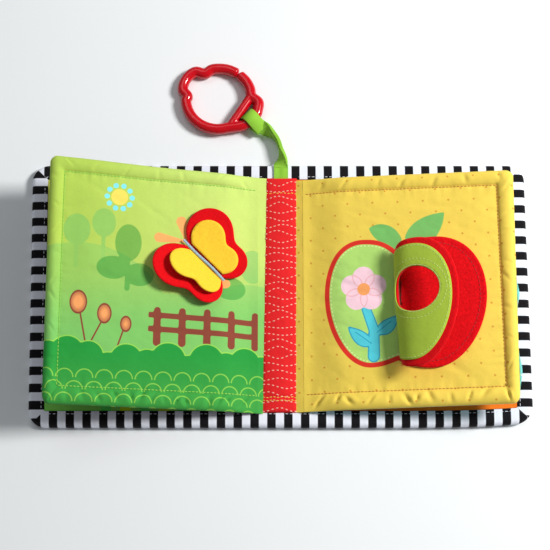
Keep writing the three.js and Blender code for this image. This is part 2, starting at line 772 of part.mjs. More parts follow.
function ringGeometry() {
  const loop = barAlong(ringRoute(), ringBar, 72, 10);
  const middle = new THREE.Vector3();
  const inside = 0.98 * ringRadius;
  const chord = new THREE.LineCurve3(onCircle(middle, inside, chordFrom), onCircle(middle, inside, chordTo));
  const ends = joined(loop, barAlong(chord, chordBar, 2, 10));
  return ends.translate(-eyeSide.x, -eyeSide.y, 0);
}

function strapBody() {
  const body = new THREE.Group();
  body.name = 'strap_part';
  body.position.copy(strapHinge);
  const tape = strapGeometry().translate(-strapHinge.x, -strapHinge.y, -strapHinge.z);
  const ring = new THREE.Group();
  ring.name = 'ring_part';
  const barHeight = ringBar / 2 + loopBand + floorGap + touchGap;
  ring.position.set(loopX, loopY, barHeight).sub(strapHinge);
  const reach = eyeSide.length() + ringRadius;
  const fall = Math.asin((barHeight - (ringBar + floorGap) / 2) / reach);
  ring.quaternion.setFromAxisAngle(loopAxis, -fall);
  ring.add(piece('link_ring', ringGeometry(), finish('ring', 0.2)));
  body.add(piece('strap', tape, finish('strap')), ring);
  return body;
}

const book = new THREE.Group();
book.add(...spinePieces());
for (const [name, side] of [['left', -1], ['right', 1]]) {
  const cover = new THREE.Group();
  cover.name = name + '_cover';
  cover.add(...coverPieces(name, coverSpace(side)));
  book.add(cover);
}

const leftLeaf = leafBody('left', -1, leftLeafAngle, 'leafGreen', 'leafBrown', 'thread');
leftLeaf.add(butterfly());
const rightLeaf = leafBody('right', 1, rightLeafAngle, 'leafYellow', 'leafBack', 'threadGold');
rightLeaf.add(apple());
book.add(leftLeaf, rightLeaf, strapBody());

export default book;
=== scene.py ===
"""Looks of the cloth activity book: padded cloth, felt, thread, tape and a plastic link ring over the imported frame."""

import math

import bpy
import numpy as np
from bpy.props import FloatProperty, FloatVectorProperty, IntProperty, PointerProperty
from mathutils import Matrix, Quaternion, Vector
from mathutils.geometry import delaunay_2d_cdt


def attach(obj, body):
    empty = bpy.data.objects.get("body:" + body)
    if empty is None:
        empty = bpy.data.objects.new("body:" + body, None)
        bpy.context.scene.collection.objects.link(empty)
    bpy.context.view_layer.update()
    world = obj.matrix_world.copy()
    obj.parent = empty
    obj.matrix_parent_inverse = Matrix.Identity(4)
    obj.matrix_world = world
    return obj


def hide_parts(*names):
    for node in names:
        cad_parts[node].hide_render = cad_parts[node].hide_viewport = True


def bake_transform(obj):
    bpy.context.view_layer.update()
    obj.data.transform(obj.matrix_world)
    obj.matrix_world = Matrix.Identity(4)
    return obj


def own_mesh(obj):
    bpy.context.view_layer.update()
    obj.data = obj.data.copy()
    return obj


bl_info = {
    "name": "Cloth Activity Book",
    "version": (1, 0, 0),
    "blender": (4, 5, 0),
    "location": "View3D > Sidebar > Book",
    "description": "Padded covers and pages, felt butterfly and apple flap, strap and link ring",
    "category": "Add Mesh",
}

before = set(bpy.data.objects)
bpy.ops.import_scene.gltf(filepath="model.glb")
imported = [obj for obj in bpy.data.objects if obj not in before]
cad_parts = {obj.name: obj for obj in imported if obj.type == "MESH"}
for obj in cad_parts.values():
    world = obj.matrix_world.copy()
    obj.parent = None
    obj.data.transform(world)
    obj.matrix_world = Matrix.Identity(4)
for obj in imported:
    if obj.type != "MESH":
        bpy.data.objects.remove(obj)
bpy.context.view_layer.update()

MM = 0.001

# Sizes and places in millimetres, angles in degrees
COVER_REACH = 172.0
COVER_HALF = 93.5
COVER_THICKNESS = 6.0
COVER_CORNER = 12.0
BINDING_WIDTH = 11.0
STRIP_HALF = 10.7
STRIP_BOTTOM = 6.3
LEAF_ROOT_X = 16.0
LEAF_ROOT_Z = 7.2
LEAF_WIDTH = 145.0
LEAF_HALF = 84.5
LEAF_ANGLE = {"left": 12.0, "right": 7.5}
LEAF_SURFACE = 6.2
BORDER_THICKNESS = 8.0
MIDDLE_THICKNESS = 6.0
CHANNEL_THICKNESS = 3.2
EDGE_THICKNESS = 1.6
BORDER_MIDDLE = 3.2
STITCH_INSET = 12.0
CROWN_RUN = 20.0
BUTTERFLY = (-55.3, 20.3)
BUTTERFLY_TURN = -43.5
APPLE = (80.5, -8.7)
APPLE_HALF_WIDTH = 60.5
APPLE_HALF_HEIGHT = 45.5
FLAP_WIDTH = 51.0
FLAP_HALF_HEIGHT = 44.0
FLAP_DROP = 3.4
FLAP_REST_ANGLE = 26.0
FLAP_RIM = 4.5
FLAP_HINGE_HEIGHT = 2.2
FLAP_ROOT = 1.6
STRAP_HINGE = (0.4, 95.0, 6.85)
STRAP_WIDTH = 10.0
LOOP_PLACE = (-21.3, 131.3, 5.9)
RING_PLACE = (-44.9, 149.0)
RING_RADIUS = 23.1
RING_BAR = 7.8
CHORD_BAR = 6.8
SIDES = {"left": -1, "right": 1}


def srgb(text):
    """A colour written as six hex digits, as Blender's linear numbers."""
    values = [int(text[i : i + 2], 16) / 255 for i in (1, 3, 5)]
    return tuple(v / 12.92 if v <= 0.04045 else ((v + 0.055) / 1.055) ** 2.4 for v in values)


def colour(name, default, words):
    """A colour that the user can change."""
    return FloatVectorProperty(
        name=name, description=words, subtype="COLOR", size=3, min=0, max=1, default=srgb(default)
    )


def length(name, default_mm, words):
    """A size that the user can change."""
    return FloatProperty(
        name=name, description=words, subtype="DISTANCE", unit="LENGTH", default=default_mm * MM, min=0.0, precision=5
    )


class BookColours(bpy.types.PropertyGroup):
    """Colours of the book's cloths, felts, threads and plastic"""

    sky_green: colour("Page green", "#C6DE74", "Top of the left page's print")
    shade_green: colour("Page green, shaded side", "#B1CE55", "Left side of the left page's print")
    hill_green: colour("Hills", "#8EC964", "Middle of the left page's print")
    meadow_green: colour("Meadow", "#229A3C", "Foot of the left page's print")
    tree_green: colour("Trees", "#5CBF6A", "Round trees on the left page")
    lime: colour("Lime lines", "#98D855", "Thin lines over the meadow")
    fence_brown: colour("Fence", "#8C4433", "Fence on the left page")
    orange: colour("Orange print", "#FBA765", "Flower heads and feelers")
    sun_yellow: colour("Sun", "#F7DE62", "Small sun on the left page")
    cyan: colour("Rays", "#84E6EE", "Rays round the small sun")
    page_yellow: colour("Right page", "#EED157", "Cloth of the right page")
    dot_orange: colour("Dots", "#D08C34", "Small dots on the right page")
    apple_red: colour("Apple rim", "#DE3226", "Printed rim of the apple")
    apple_green: colour("Apple flesh", "#B2DE74", "Inside of the printed apple")
    apple_dash: colour("Apple dashes", "#DCF3A0", "Printed dashes inside the apple's rim")
    leaf_green: colour("Apple leaves", "#78BF66", "Printed leaves over the apple")
    pink: colour("Pink flower", "#FBD3E0", "Printed flower inside the apple")
    turquoise: colour("Turquoise stem", "#55CFDF", "Printed stem and leaves inside the apple")
    teal: colour("Stem lines", "#2FA0BE", "Lines on the printed stem and leaves")
    # Dark brown read off the thin dark line at the left page's edge: partly the back cloth's own colour, partly painted
    # shade
    brown_back: colour("Left page's back", "#3A2118", "Back of the left page")
    turquoise_back: colour("Right page's back", "#7FDDE6", "Back of the right page")
    outer_cloth: colour("Outer cloth", "#3FB7C9", "Outside of the covers and spine")
    orange_lining: colour("Right lining", "#F27A1C", "Inside of the right cover")
    yellow_lining: colour("Left lining", "#DDE058", "Inside of the left cover")
    green_lining: colour("Left lining, foot", "#86DB5C", "Foot of the left cover's inside")
    green_stripe: colour("Left lining, green stripe", "#58DC58", "Upright stripes at the foot of the left cover")
    lime_stripe: colour("Left lining, lime stripe", "#C6EA22", "Every other upright stripe there")
    black: colour("Binding, dark", "#100D11", "Dark stripes of the binding")
    white: colour("Binding, light", "#ECEFF9", "Light stripes of the binding")
    strip_red: colour("Spine strip", "#E42225", "Strip down the spine")
    strip_thread: colour("Spine dashes", "#FFB9A6", "Wavy dashes on the spine strip")
    felt_red: colour("Red felt", "#DC0A14", "Wings, apple half and flap")
    felt_yellow: colour("Yellow felt", "#FBCD38", "Upper wings")
    seam_blue: colour("Butterfly seam", "#BCDDEE", "Satin stitches between the wings")
    apple_thread: colour("Apple thread", "#B0101C", "Stitches of the apple's sewn half")
    hinge_thread: colour("Flap hinge thread", "#C4121F", "Seam that the flap turns on")
    olive: colour("Flap lining", "#ADC944", "Inside of the flap")
    pale_thread: colour("Pale thread", "#CFE08A", "Stitches round the flap's lining and hole")
    strap_green: colour("Strap", "#8FC73C", "Folded tape of the strap")
    strap_thread: colour("Strap thread", "#5C9820", "Stitches of the strap")
    ring_red: colour("Link ring", "#C60014", "Plastic of the link ring")
    batting: colour("Batting", "#F2F0EA", "Padding inside covers and pages")
    floor: colour("Floor", "#F1F4F6", "Table under the book")


class BookSizes(bpy.types.PropertyGroup):
    """Sizes of the book's stitches, folds and surfaces"""

    stitch: length("Topstitch", 2.1, "Length of one visible topstitch")
    stitch_pitch: length("Topstitch pitch", 2.9, "From one topstitch to the next")
    thread: length("Thread", 0.62, "Width of the sewing thread")
    stripe: length("Stripe pitch", 11.3, "From one dark stripe of the binding to the next")
    dash: length("Dash", 1.8, "Length of a dash on the spine strip")
    dash_rows: length("Dash rows", 5.2, "From one wavy row on the spine strip to the next")
    dots: length("Dot pitch", 17.5, "From one dot to the next in a row of the right page")
    pucker: length("Pucker", 1.4, "Depth of the creases in a page's puffed border")
    wrinkle: length("Wrinkle", 0.42, "Height of the soft folds in a page's middle")
    nap: length("Felt nap", 0.35, "Depth of the felt's surface")
    weave: length("Weave", 0.5, "From one thread of the cloth to the next")
    rest_lift: length("Corner lift", 5.0, "How much the left page's top corner stands above its plane")
    seed: IntProperty(name="Seed", description="Fixes the places of folds and wavy rows", default=7, min=0)
    key_light: FloatProperty(name="Key light", description="Watts of the softbox on the right", default=24.0, min=0)
    fill_light: FloatProperty(name="Fill light", description="Strength of the room's own light", default=0.22, min=0)


def colours():
    return bpy.context.scene.book_colours


def sizes():
    return bpy.context.scene.book_sizes


# Numbers, noise and distances


def smooth(value):
    """An even step from 0 to 1, with level ends."""
    value = np.clip(value, 0.0, 1.0)
    return value * value * (3 - 2 * value)


def lattice(ix, iy, seed):
    """A fixed number from 0 to 1 for each whole place."""
    value = np.sin(ix * 127.1 + iy * 311.7 + seed * 74.7) * 43758.5453
    return value - np.floor(value)


def soft_noise(x, y, size, seed):
    """Smooth noise from -1 to 1, with lumps of about that size."""
    u, v = x / size + 100.0, y / size + 100.0
    iu, iv = np.floor(u), np.floor(v)
    fu, fv = u - iu, v - iv
    fu, fv = fu * fu * (3 - 2 * fu), fv * fv * (3 - 2 * fv)
    low = lattice(iu, iv, seed) * (1 - fu) + lattice(iu + 1, iv, seed) * fu
    high = lattice(iu, iv + 1, seed) * (1 - fu) + lattice(iu + 1, iv + 1, seed) * fu
    return 2 * (low * (1 - fv) + high * fv) - 1


def layered_noise(x, y, size, seed):
    """Smooth noise with finer lumps on its lumps."""
    return (
        soft_noise(x, y, size, seed) + 0.5 * soft_noise(x, y, size / 2.1, seed + 5)
        + 0.25 * soft_noise(x, y, size / 4.3, seed + 11)
    ) / 1.75


def inside_outline(x, y, outline):
    """Whether each point lies in a closed outline."""
    within = np.zeros(x.shape, bool)
    for (ax, ay), (bx, by) in zip(outline, np.roll(outline, -1, axis=0)):
        crosses = (ay > y) != (by > y)
        at = ax + (y - ay) * (bx - ax) / (by - ay if by != ay else 1e-12)
        within ^= crosses & (x < at)
    return within


def outline_distance(x, y, outline):
    """Distance to a closed outline, negative inside it, and how far along it the nearest point lies."""
    best = np.full(x.shape, 1e9)
    along = np.zeros(x.shape)
    done = 0.0
    for (ax, ay), (bx, by) in zip(outline, np.roll(outline, -1, axis=0)):
        dx, dy = bx - ax, by - ay
        long = math.hypot(dx, dy)
        if long < 1e-9:
            continue
        t = np.clip(((x - ax) * dx + (y - ay) * dy) / long**2, 0, 1)
        far = np.hypot(x - ax - t * dx, y - ay - t * dy)
        nearer = far < best
        best[nearer] = far[nearer]
        along[nearer] = (done + t * long)[nearer]
        done += long
    return np.where(inside_outline(x, y, outline), -best, best), along


def cubics(points, *steps):
    """So many points along each of a row of cubics that share their ends. The last one may end at the first point."""
    curves = []
    for i, count in enumerate(steps):
        a, b, c, d = (np.array(points[k % len(points)], float) for k in range(3 * i, 3 * i + 4))
        t = (np.arange(count) / count)[:, None]
        curves.append((1 - t) ** 3 * a + 3 * (1 - t) ** 2 * t * b + 3 * (1 - t) * t**2 * c + t**3 * d)
    return np.concatenate(curves)


def arc_points(centre, radius, start, end, count):
    angles = np.radians(np.linspace(start, end, count))
    return np.stack([centre[0] + radius * np.cos(angles), centre[1] + radius * np.sin(angles)], 1)


def rounded_spline(points, steps):
    """Centripetal curve through points, as the part's source has it."""
    points = [np.array(p, float) for p in points]
    last = len(points) - 1
    result = []
    for i in range(steps + 1):
        place = last * i / steps
        first = min(int(place), last - 1)
        t = place - first
        p1, p2 = points[first], points[first + 1]
        p0 = points[first - 1] if first > 0 else 2 * p1 - p2
        p3 = points[first + 2] if first + 2 <= last else 2 * p2 - p1
        d0, d1, d2 = (max(np.linalg.norm(b - a) ** 0.5, 1e-4) for a, b in ((p0, p1), (p1, p2), (p2, p3)))
        m1 = ((p1 - p0) / d0 - (p2 - p0) / (d0 + d1) + (p2 - p1) / d1) * d1
        m2 = ((p2 - p1) / d1 - (p3 - p1) / (d1 + d2) + (p3 - p2) / d2) * d1
        result.append(p1 + m1 * t + (3 * (p2 - p1) - 2 * m1 - m2) * t**2 + (2 * (p1 - p2) + m1 + m2) * t**3)
    return np.array(result)


# Meshes


def at(x, y, z):
    """Points from their three coordinates, where one may be a single number."""
    return np.stack(np.broadcast_arrays(x, y, z), -1)


def unit(rows):
    return rows / np.linalg.norm(rows, axis=1)[:, None]


def run_along(points):
    """How far along a line each of its points lies."""
    return np.concatenate([[0], np.cumsum(np.linalg.norm(np.diff(points, axis=0), axis=1))])


def new_object(mesh, *materials):
    """A piece with the name of its mesh."""
    for material in materials:
        mesh.materials.append(material)
    made = bpy.data.objects.new(mesh.name, mesh)
    bpy.context.scene.collection.objects.link(made)
    return made


def build_mesh(name, points, faces, flat=None, values=None, sharp=None):
    """Mesh from points in millimetres. flat is each point's place on the flat cloth, values are numbers per point."""
    mesh = bpy.data.meshes.new(name)
    mesh.from_pydata((np.asarray(points, float) * MM).tolist(), [], faces)
    mesh.validate()
    mesh.polygons.foreach_set("use_smooth", np.ones(len(mesh.polygons), bool))
    if flat is not None:
        layer = mesh.attributes.new("flat", "FLOAT_VECTOR", "POINT")
        layer.data.foreach_set("vector", np.asarray(flat, np.float32).ravel())
    for key, numbers in (values or {}).items():
        layer = mesh.attributes.new(key, "FLOAT", "POINT")
        layer.data.foreach_set("value", np.asarray(numbers, np.float32).ravel())
    mesh.update()
    if sharp is not None:
        mesh.set_sharp_from_angle(angle=math.radians(sharp))
    return mesh


def grid_faces(rows, columns, start=0, flip=False):
    faces = []
    for i in range(rows - 1):
        for j in range(columns - 1):
            a = start + i * columns + j
            face = (a, a + 1, a + columns + 1, a + columns)
            faces.append(face[::-1] if flip else face)
    return faces


def shell_faces(rows, columns):
    """Closed shell between an upper and a lower grid: rows run along Y and columns along X, both upwards."""
    size = rows * columns
    faces = grid_faces(rows, columns) + grid_faces(rows, columns, size, True)
    rim = list(range(columns))
    rim += [(i + 1) * columns - 1 for i in range(1, rows)]
    rim += [rows * columns - 1 - j for j in range(1, columns)]
    rim += [(rows - 1 - i) * columns for i in range(1, rows - 1)]
    for a, b in zip(rim, rim[1:] + rim[:1]):
        faces.append((b, a, size + a, size + b))
    return faces


def shell(name, upper, lower, mirror, flat, values=None):
    """Closed cloth from two grids of points, turned over where the side is mirrored."""
    rows, columns = upper.shape[:2]
    faces = shell_faces(rows, columns)
    if mirror:
        faces = [f[::-1] for f in faces]
    points = np.concatenate([upper.reshape(-1, 3), lower.reshape(-1, 3)])
    flat = np.concatenate([flat.reshape(-1, 3)] * 2)
    values = {k: np.concatenate([v.ravel()] * 2) for k, v in (values or {}).items()}
    return build_mesh(name, points, faces, flat, values, 60)


def swept(sections):
    """Points and faces of a closed section carried along a path. sections is stations by points by 3."""
    stations, count = sections.shape[:2]
    faces = []
    for i in range(stations - 1):
        here, after = i * count, (i + 1) * count
        for j in range(count):
            k = (j + 1) % count
            faces.append((here + j, here + k, after + k, after + j))
    faces.append(tuple(range(count))[::-1])
    faces.append(tuple((stations - 1) * count + j for j in range(count)))
    return sections.reshape(-1, 3), faces


def outward(mesh):
    """Turns a closed mesh so that its faces point out."""
    total = 0.0
    points = [v.co for v in mesh.vertices]
    for face in mesh.polygons:
        corners = [points[i] for i in face.vertices]
        for b, c in zip(corners[1:], corners[2:]):
            total += corners[0].dot(b.cross(c))
    if total < 0:
        mesh.flip_normals()
    mesh.update()
    return mesh


def cut_sheet(outline, spacing, holes=()):
    """Triangles that fill an outline, with even points inside it. Each outline is points of x and y."""
    loops = [np.asarray(outline, float), *[np.asarray(h, float) for h in holes]]
    points = [Vector(p) for loop in loops for p in loop]
    edges, start = [], 0
    for loop in loops:
        edges += [(start + i, start + (i + 1) % len(loop)) for i in range(len(loop))]
        start += len(loop)
    low, high = loops[0].min(0), loops[0].max(0)
    rows = np.arange(low[1], high[1], spacing * 0.866)
    grid = np.array([
        (x + (i % 2) * spacing / 2, y) for i, y in enumerate(rows) for x in np.arange(low[0], high[0], spacing)
    ])
    keep = outline_distance(*grid.T, loops[0])[0] < -0.6 * spacing
    for hole in loops[1:]:
        keep &= outline_distance(*grid.T, hole)[0] > 0.6 * spacing
    points += [Vector(p) for p in grid[keep]]
    face = [list(range(len(loops[0])))]
    found, _, triangles = delaunay_2d_cdt(points, edges, face, 1, 1e-5, False)[:3]
    found = np.array([tuple(p) for p in found])
    triangles = np.array([t for t in triangles if len(t) == 3])
    middle = found[triangles].mean(1)
    keep = inside_outline(*middle.T, loops[0])
    for hole in loops[1:]:
        keep &= ~inside_outline(*middle.T, hole)
    triangles = triangles[keep]
    a, b, c = (found[triangles[:, i]] for i in range(3))
    turned = (b[:, 0] - a[:, 0]) * (c[:, 1] - a[:, 1]) - (b[:, 1] - a[:, 1]) * (c[:, 0] - a[:, 0]) < 0
    triangles[turned] = triangles[turned][:, ::-1]
    used = np.unique(triangles)
    place = np.full(len(found), -1)
    place[used] = np.arange(len(used))
    return found[used], place[triangles]


def thick_sheet(name, sheet, thickness, shape, bulge):
    """Felt or cloth of a thickness from a cut sheet. shape puts x, y and height in place, and bulge rounds its rim."""
    flat, triangles = sheet
    count = len(flat)
    directed = {(int(t[i]), int(t[(i + 1) % 3])): True for t in triangles for i in range(3)}
    rim = [(a, b) for a, b in directed if (b, a) not in directed]
    out = np.zeros((count, 2))
    for a, b in rim:
        d = flat[b] - flat[a]
        n = np.array([d[1], -d[0]]) / max(np.hypot(*d), 1e-9)
        out[a] += n
        out[b] += n
    size = np.maximum(np.linalg.norm(out, axis=1), 1e-9)[:, None]
    edge = sorted({a for a, _ in rim})
    middle = {v: 2 * count + i for i, v in enumerate(edge)}
    wide = flat + bulge * out / size
    xs = np.concatenate([flat[:, 0], flat[:, 0], wide[edge, 0]])
    ys = np.concatenate([flat[:, 1], flat[:, 1], wide[edge, 1]])
    hs = np.repeat([thickness / 2, -thickness / 2, 0], [count, count, len(edge)])
    faces = [tuple(int(v) for v in t) for t in triangles]
    faces += [tuple(int(v) + count for v in t[::-1]) for t in triangles]
    for a, b in rim:
        faces.append((b, a, middle[a], middle[b]))
        faces.append((middle[b], middle[a], a + count, b + count))
    return outward(build_mesh(name, shape(xs, ys, hs), faces, np.stack([xs, ys, hs], 1)))


# Materials

# Cells of a repeat before its start, so that their count is never negative
CELLS_BEFORE = 20


class Finish:
    """A node material, with short ways to add and join its nodes."""

    def __init__(self, name):
        self.material = bpy.data.materials.new(name)
        self.material.use_nodes = True
        self.tree = self.material.node_tree
        self.surface = self.tree.nodes["Principled BSDF"]

    def add(self, kind, *values, **settings):
        """A node with its settings and the values of its first inputs."""
        node = self.tree.nodes.new("ShaderNode" + kind)
        for key, value in settings.items():
            setattr(node, key, value)
        for socket, value in zip(node.inputs, values):
            self.feed(socket, value)
        return node

    def feed(self, socket, value):
        if isinstance(value, bpy.types.NodeSocket):
            self.tree.links.new(value, socket)
        elif socket.type == "RGBA":
            socket.default_value = (*tuple(value)[:3], 1.0)
        else:
            socket.default_value = value

    def math(self, kind, *values, clamp=False):
        return self.add("Math", *values, operation=kind, use_clamp=clamp).outputs[0]

    def times(self, a, b):
        return self.math("MULTIPLY", a, b)

    def mix(self, share, under, over, kind="MIX"):
        node = self.add("Mix", share, data_type="RGBA", blend_type=kind)
        self.feed(node.inputs[6], under)
        self.feed(node.inputs[7], over)
        return node.outputs[2]

    def number(self, name):
        return self.add("Attribute", attribute_name=name).outputs["Fac"]

    def flat(self):
        """Place on the flat cloth, in millimetres."""
        return self.add("Attribute", attribute_name="flat").outputs["Vector"]

    def solid(self):
        """Place in the piece itself, in millimetres."""
        node = self.add("VectorMath", self.add("TexCoord").outputs["Object"], operation="SCALE")
        node.inputs["Scale"].default_value = 1000
        return node.outputs[0]

    def parts(self, vector):
        return self.add("SeparateXYZ", vector).outputs

    def stretched(self, vector, x, y, z=1.0):
        return self.add("VectorMath", vector, (x, y, z), operation="MULTIPLY").outputs[0]

    def noise(self, vector, size, detail=2.0, roughness=0.5):
        """Cloudy noise from 0 to 1, with lumps of about that many millimetres."""
        node = self.add("TexNoise", vector)
        node.inputs["Scale"].default_value = 1 / size
        node.inputs["Detail"].default_value = detail
        node.inputs["Roughness"].default_value = roughness
        return node.outputs["Fac"]

    def span(self, value, low, high, at_low=0.0, at_high=1.0, kind="SMOOTHSTEP"):
        return self.add("MapRange", value, low, high, at_low, at_high, interpolation_type=kind).outputs[0]

    def within(self, distance, edge=0.0, soft=0.22):
        """1 where a distance is less than the edge."""
        return self.span(distance, edge - soft, edge + soft, 1.0, 0.0)

    def fill(self, paint, name, over):
        """Paint with another colour inside a printed figure."""
        return self.mix(self.within(self.number(name)), paint, over)

    def line(self, distance, width, at=0.0, soft=0.2):
        """1 on a line of that width where a distance has one value."""
        off = self.math("ABSOLUTE", self.math("SUBTRACT", distance, at))
        return self.within(off, width / 2, soft)

    def far(self, place, *point):
        """Distance of a place on the flat cloth from a point."""
        return self.add("VectorMath", place, (*point, 0), operation="DISTANCE").outputs["Value"]

    def far_from_line(self, place, a, b):
        """Distance of a place on the flat cloth from the straight line between two points."""
        way = Vector((b[0] - a[0], b[1] - a[1], 0))
        off = self.add("VectorMath", place, (*a, 0), operation="SUBTRACT").outputs[0]
        along = self.add("VectorMath", off, way / way.length_squared, operation="DOT_PRODUCT").outputs["Value"]
        foot = self.add("VectorMath", way, operation="SCALE")
        self.feed(foot.inputs["Scale"], self.math("ADD", along, 0.0, clamp=True))
        return self.add("VectorMath", off, foot.outputs[0], operation="DISTANCE").outputs["Value"]

    def most(self, *masks):
        best = masks[0]
        for mask in masks[1:]:
            best = self.math("MAXIMUM", best, mask)
        return best

    def dashes(self, along, pitch):
        """1 on dashes a little longer than their gaps."""
        part = self.math("FRACT", self.math("DIVIDE", along, pitch))
        return self.line(part, 0.55, 0.5, 0.06)

    def reach(self, across, up):
        """Length of the straight way that goes so far across and so far up."""
        return self.math("SQRT", self.math("ADD", *[self.math("POWER", part, 2.0) for part in (across, up)]))

    def cell(self, place, pitch, start, from_middle=True):
        """Millimetres into the cell of a repeat that a place lies in, from the cell's middle or from its start."""
        middle = 0.5 if from_middle else 0.0
        share = self.math("FRACT", self.math("MULTIPLY_ADD", place, 1 / pitch, CELLS_BEFORE + middle - start / pitch))
        if from_middle:
            share = self.math("SUBTRACT", share, middle)
        return self.times(share, pitch)

    def mottled(self, paint, vector, size, strength, detail=3.0):
        """A colour made a little lighter and darker in patches."""
        patches = self.span(self.noise(vector, size, detail), 0.3, 0.7, 1 - strength, 1 + strength, "LINEAR")
        tint = self.add("CombineColor", patches, patches, patches)
        return self.mix(1.0, paint, tint.outputs[0], "MULTIPLY")

    def bump(self, *layers):
        """Bumps of several heights in millimetres, from the coarsest."""
        normal = None
        for height, depth in layers:
            node = self.add("Bump")
            node.inputs["Strength"].default_value = 1.0
            node.inputs["Distance"].default_value = depth * MM
            self.feed(node.inputs["Height"], height)
            if normal is not None:
                self.feed(node.inputs["Normal"], normal)
            normal = node.outputs[0]
        self.feed(self.surface.inputs["Normal"], normal)

    def done(self, paint, **settings):
        self.feed(self.surface.inputs["Base Color"], paint)
        names = {
            "rough": "Roughness", "sheen": "Sheen Weight", "sheen_rough": "Sheen Roughness",
            "coat": "Coat Weight", "coat_rough": "Coat Roughness", "shine": "Specular IOR Level",
            "deep": "Subsurface Weight", "deep_scale": "Subsurface Scale",
        }
        for key, value in settings.items():
            self.feed(self.surface.inputs[names[key]], value)
        return self.material

    def woven(self, place):
        """Plain weave, a little uneven, as a height."""
        pitch = sizes().weave / MM
        x, y, _ = self.parts(place)
        warp = self.math("SINE", self.times(x, math.tau / pitch))
        weft = self.math("SINE", self.times(y, math.tau / pitch))
        fine = self.times(warp, weft)
        uneven = self.noise(self.stretched(place, 0.35, 1.0), 0.9, 3)
        return self.math("MULTIPLY_ADD", fine, 0.3, uneven)


def cotton(name, paint_with, rough=0.82, soft_size=9.0, soft_depth=0.35, mottle=0.035):
    """Printed or dyed cotton. paint_with makes its colour from the finish and the place on the cloth."""
    yarn_patch, dye_patch, weave_depth = 0.8, 16.0, 0.05
    f = Finish(name)
    where = f.flat()
    paint = f.mottled(paint_with(f, where), where, yarn_patch, mottle)
    paint = f.mottled(paint, where, dye_patch, mottle * 0.7)
    f.bump((f.noise(where, soft_size, 3), soft_depth), (f.woven(where), weave_depth))
    return f.done(paint, rough=rough, sheen=0.04, sheen_rough=0.5, shine=0.16)


def plain_cotton(name, paint, **settings):
    """Cotton dyed in one colour."""
    return cotton(name, lambda f, where: paint, **settings)


def felt(name, paint, mottle, nap):
    """Pressed felt: short fibres that lie in all directions, and soft lumps."""
    f = Finish(name)
    where = f.flat()
    lumps = f.noise(where, 1.5, 4, 0.62)
    fibres = f.noise(f.stretched(where, 1.0, 2.6, 1.6), 0.55, 5, 0.7)
    shade = f.mottled(paint, where, 1.3, mottle, 4)
    shade = f.mottled(shade, f.stretched(where, 1.0, 3.0), 0.45, mottle * 0.8, 2)
    f.bump((f.noise(where, 6.0, 2), 0.4), (lumps, sizes().nap / MM * nap), (fibres, 0.16 * nap))
    return f.done(shade, rough=0.95, sheen=0.12, sheen_rough=0.45, shine=0.1)


def thread(name, paint):
    """Twisted sewing thread."""
    f = Finish(name)
    where = f.solid()
    x, y, z = f.parts(where)
    slope = f.math("ADD", f.math("ADD", x, y), f.times(z, 1.7))
    ply = f.math("SINE", f.times(slope, 9.0))
    f.bump((ply, 0.06))
    return f.done(f.mottled(paint, where, 0.7, 0.08), rough=0.55, sheen=0.2, sheen_rough=0.4, shine=0.4)


def wadding(name, paint):
    """Loose polyester padding."""
    f = Finish(name)
    where = f.solid()
    f.bump((f.noise(where, 3.0, 5, 0.65), 0.8))
    return f.done(f.mottled(paint, where, 2.5, 0.06), rough=1.0, sheen=0.3, sheen_rough=0.6, shine=0.1)


def glossy_plastic(name, paint):
    """Moulded plastic with a shine, faint flow marks and handling wear."""
    f = Finish(name)
    where = f.solid()
    shade = f.mottled(paint, where, 14.0, 0.04)
    rough = f.span(f.noise(where, 5.0, 4), 0.35, 0.75, 0.14, 0.24)
    f.bump((f.noise(where, 9.0, 2), 0.08), (f.noise(where, 0.8, 2), 0.006))
    return f.done(shade, rough=rough, coat=0.3, coat_rough=0.05, deep=0.04, deep_scale=0.003, shine=0.3)


def page_cotton(name, paint_with):
    """Printed cotton of the pages, a little smoother than the covers'."""
    return cotton(name, paint_with, rough=0.74, soft_size=7.0, soft_depth=0.3, mottle=0.03)


def left_page_paint(f, where):
    """Print of the left page: sky, hills, trees, a fence, flowers and a meadow of scallops."""
    c = colours()
    x, y, _ = f.parts(where)
    paint = f.mix(f.span(x, -140.0, -15.0), c.shade_green, c.sky_green)
    paint = f.mix(f.span(f.math("MULTIPLY_ADD", x, -0.12, y), 30.0, -22.0), paint, c.hill_green)
    soft_tree = f.mix(0.45, paint, c.tree_green)
    paint = f.fill(paint, "hills", f.mix(0.35, paint, c.tree_green))
    paint = f.fill(paint, "crowns", soft_tree)
    paint = f.fill(paint, "bushes", f.mix(0.62, paint, c.meadow_green))
    paint = f.fill(paint, "fence", c.fence_brown)
    stems = f.most(*[f.within(f.far_from_line(where, *line), 0.55) for line in STEMS])
    paint = f.mix(stems, paint, c.fence_brown)
    heads = f.number("heads")
    warm = f.mix(f.span(heads, -3.2, -0.6), c.orange, f.mix(0.55, c.orange, c.fence_brown))
    paint = f.mix(f.within(heads), paint, warm)
    paint = f.mix(f.line(heads, 0.9), paint, c.fence_brown)
    paint = f.fill(paint, "rays", c.cyan)
    paint = f.fill(paint, "sun", c.sun_yellow)
    meadow = f.number("meadow")
    grass = f.mix(f.span(y, -40.0, -84.0), c.meadow_green, f.mix(0.14, c.meadow_green, c.hill_green))
    paint = f.mix(f.within(meadow), paint, grass)
    paint = f.mix(f.line(meadow, 0.75), paint, c.lime)
    paint = f.mix(f.times(scallops_mask(f, x, y), 0.75), paint, c.lime)
    return f.mix(f.times(f.within(f.number("feelers")), 0.88), paint, c.orange)


def scallops_mask(f, x, y):
    """Staggered rows of thin half rings, in the lower part of the meadow."""
    wide, high, radius, thick, top = 13.0, 16.0, 5.6, 0.8, -57.5
    masks = []
    for start_x, start_y in ((0.0, -63.6), (6.5, -71.6)):
        far = f.reach(f.cell(x, wide, start_x), f.cell(y, high, start_y, from_middle=False))
        masks.append(f.line(far, thick, radius))
    return f.times(f.most(*masks), f.within(y, top))


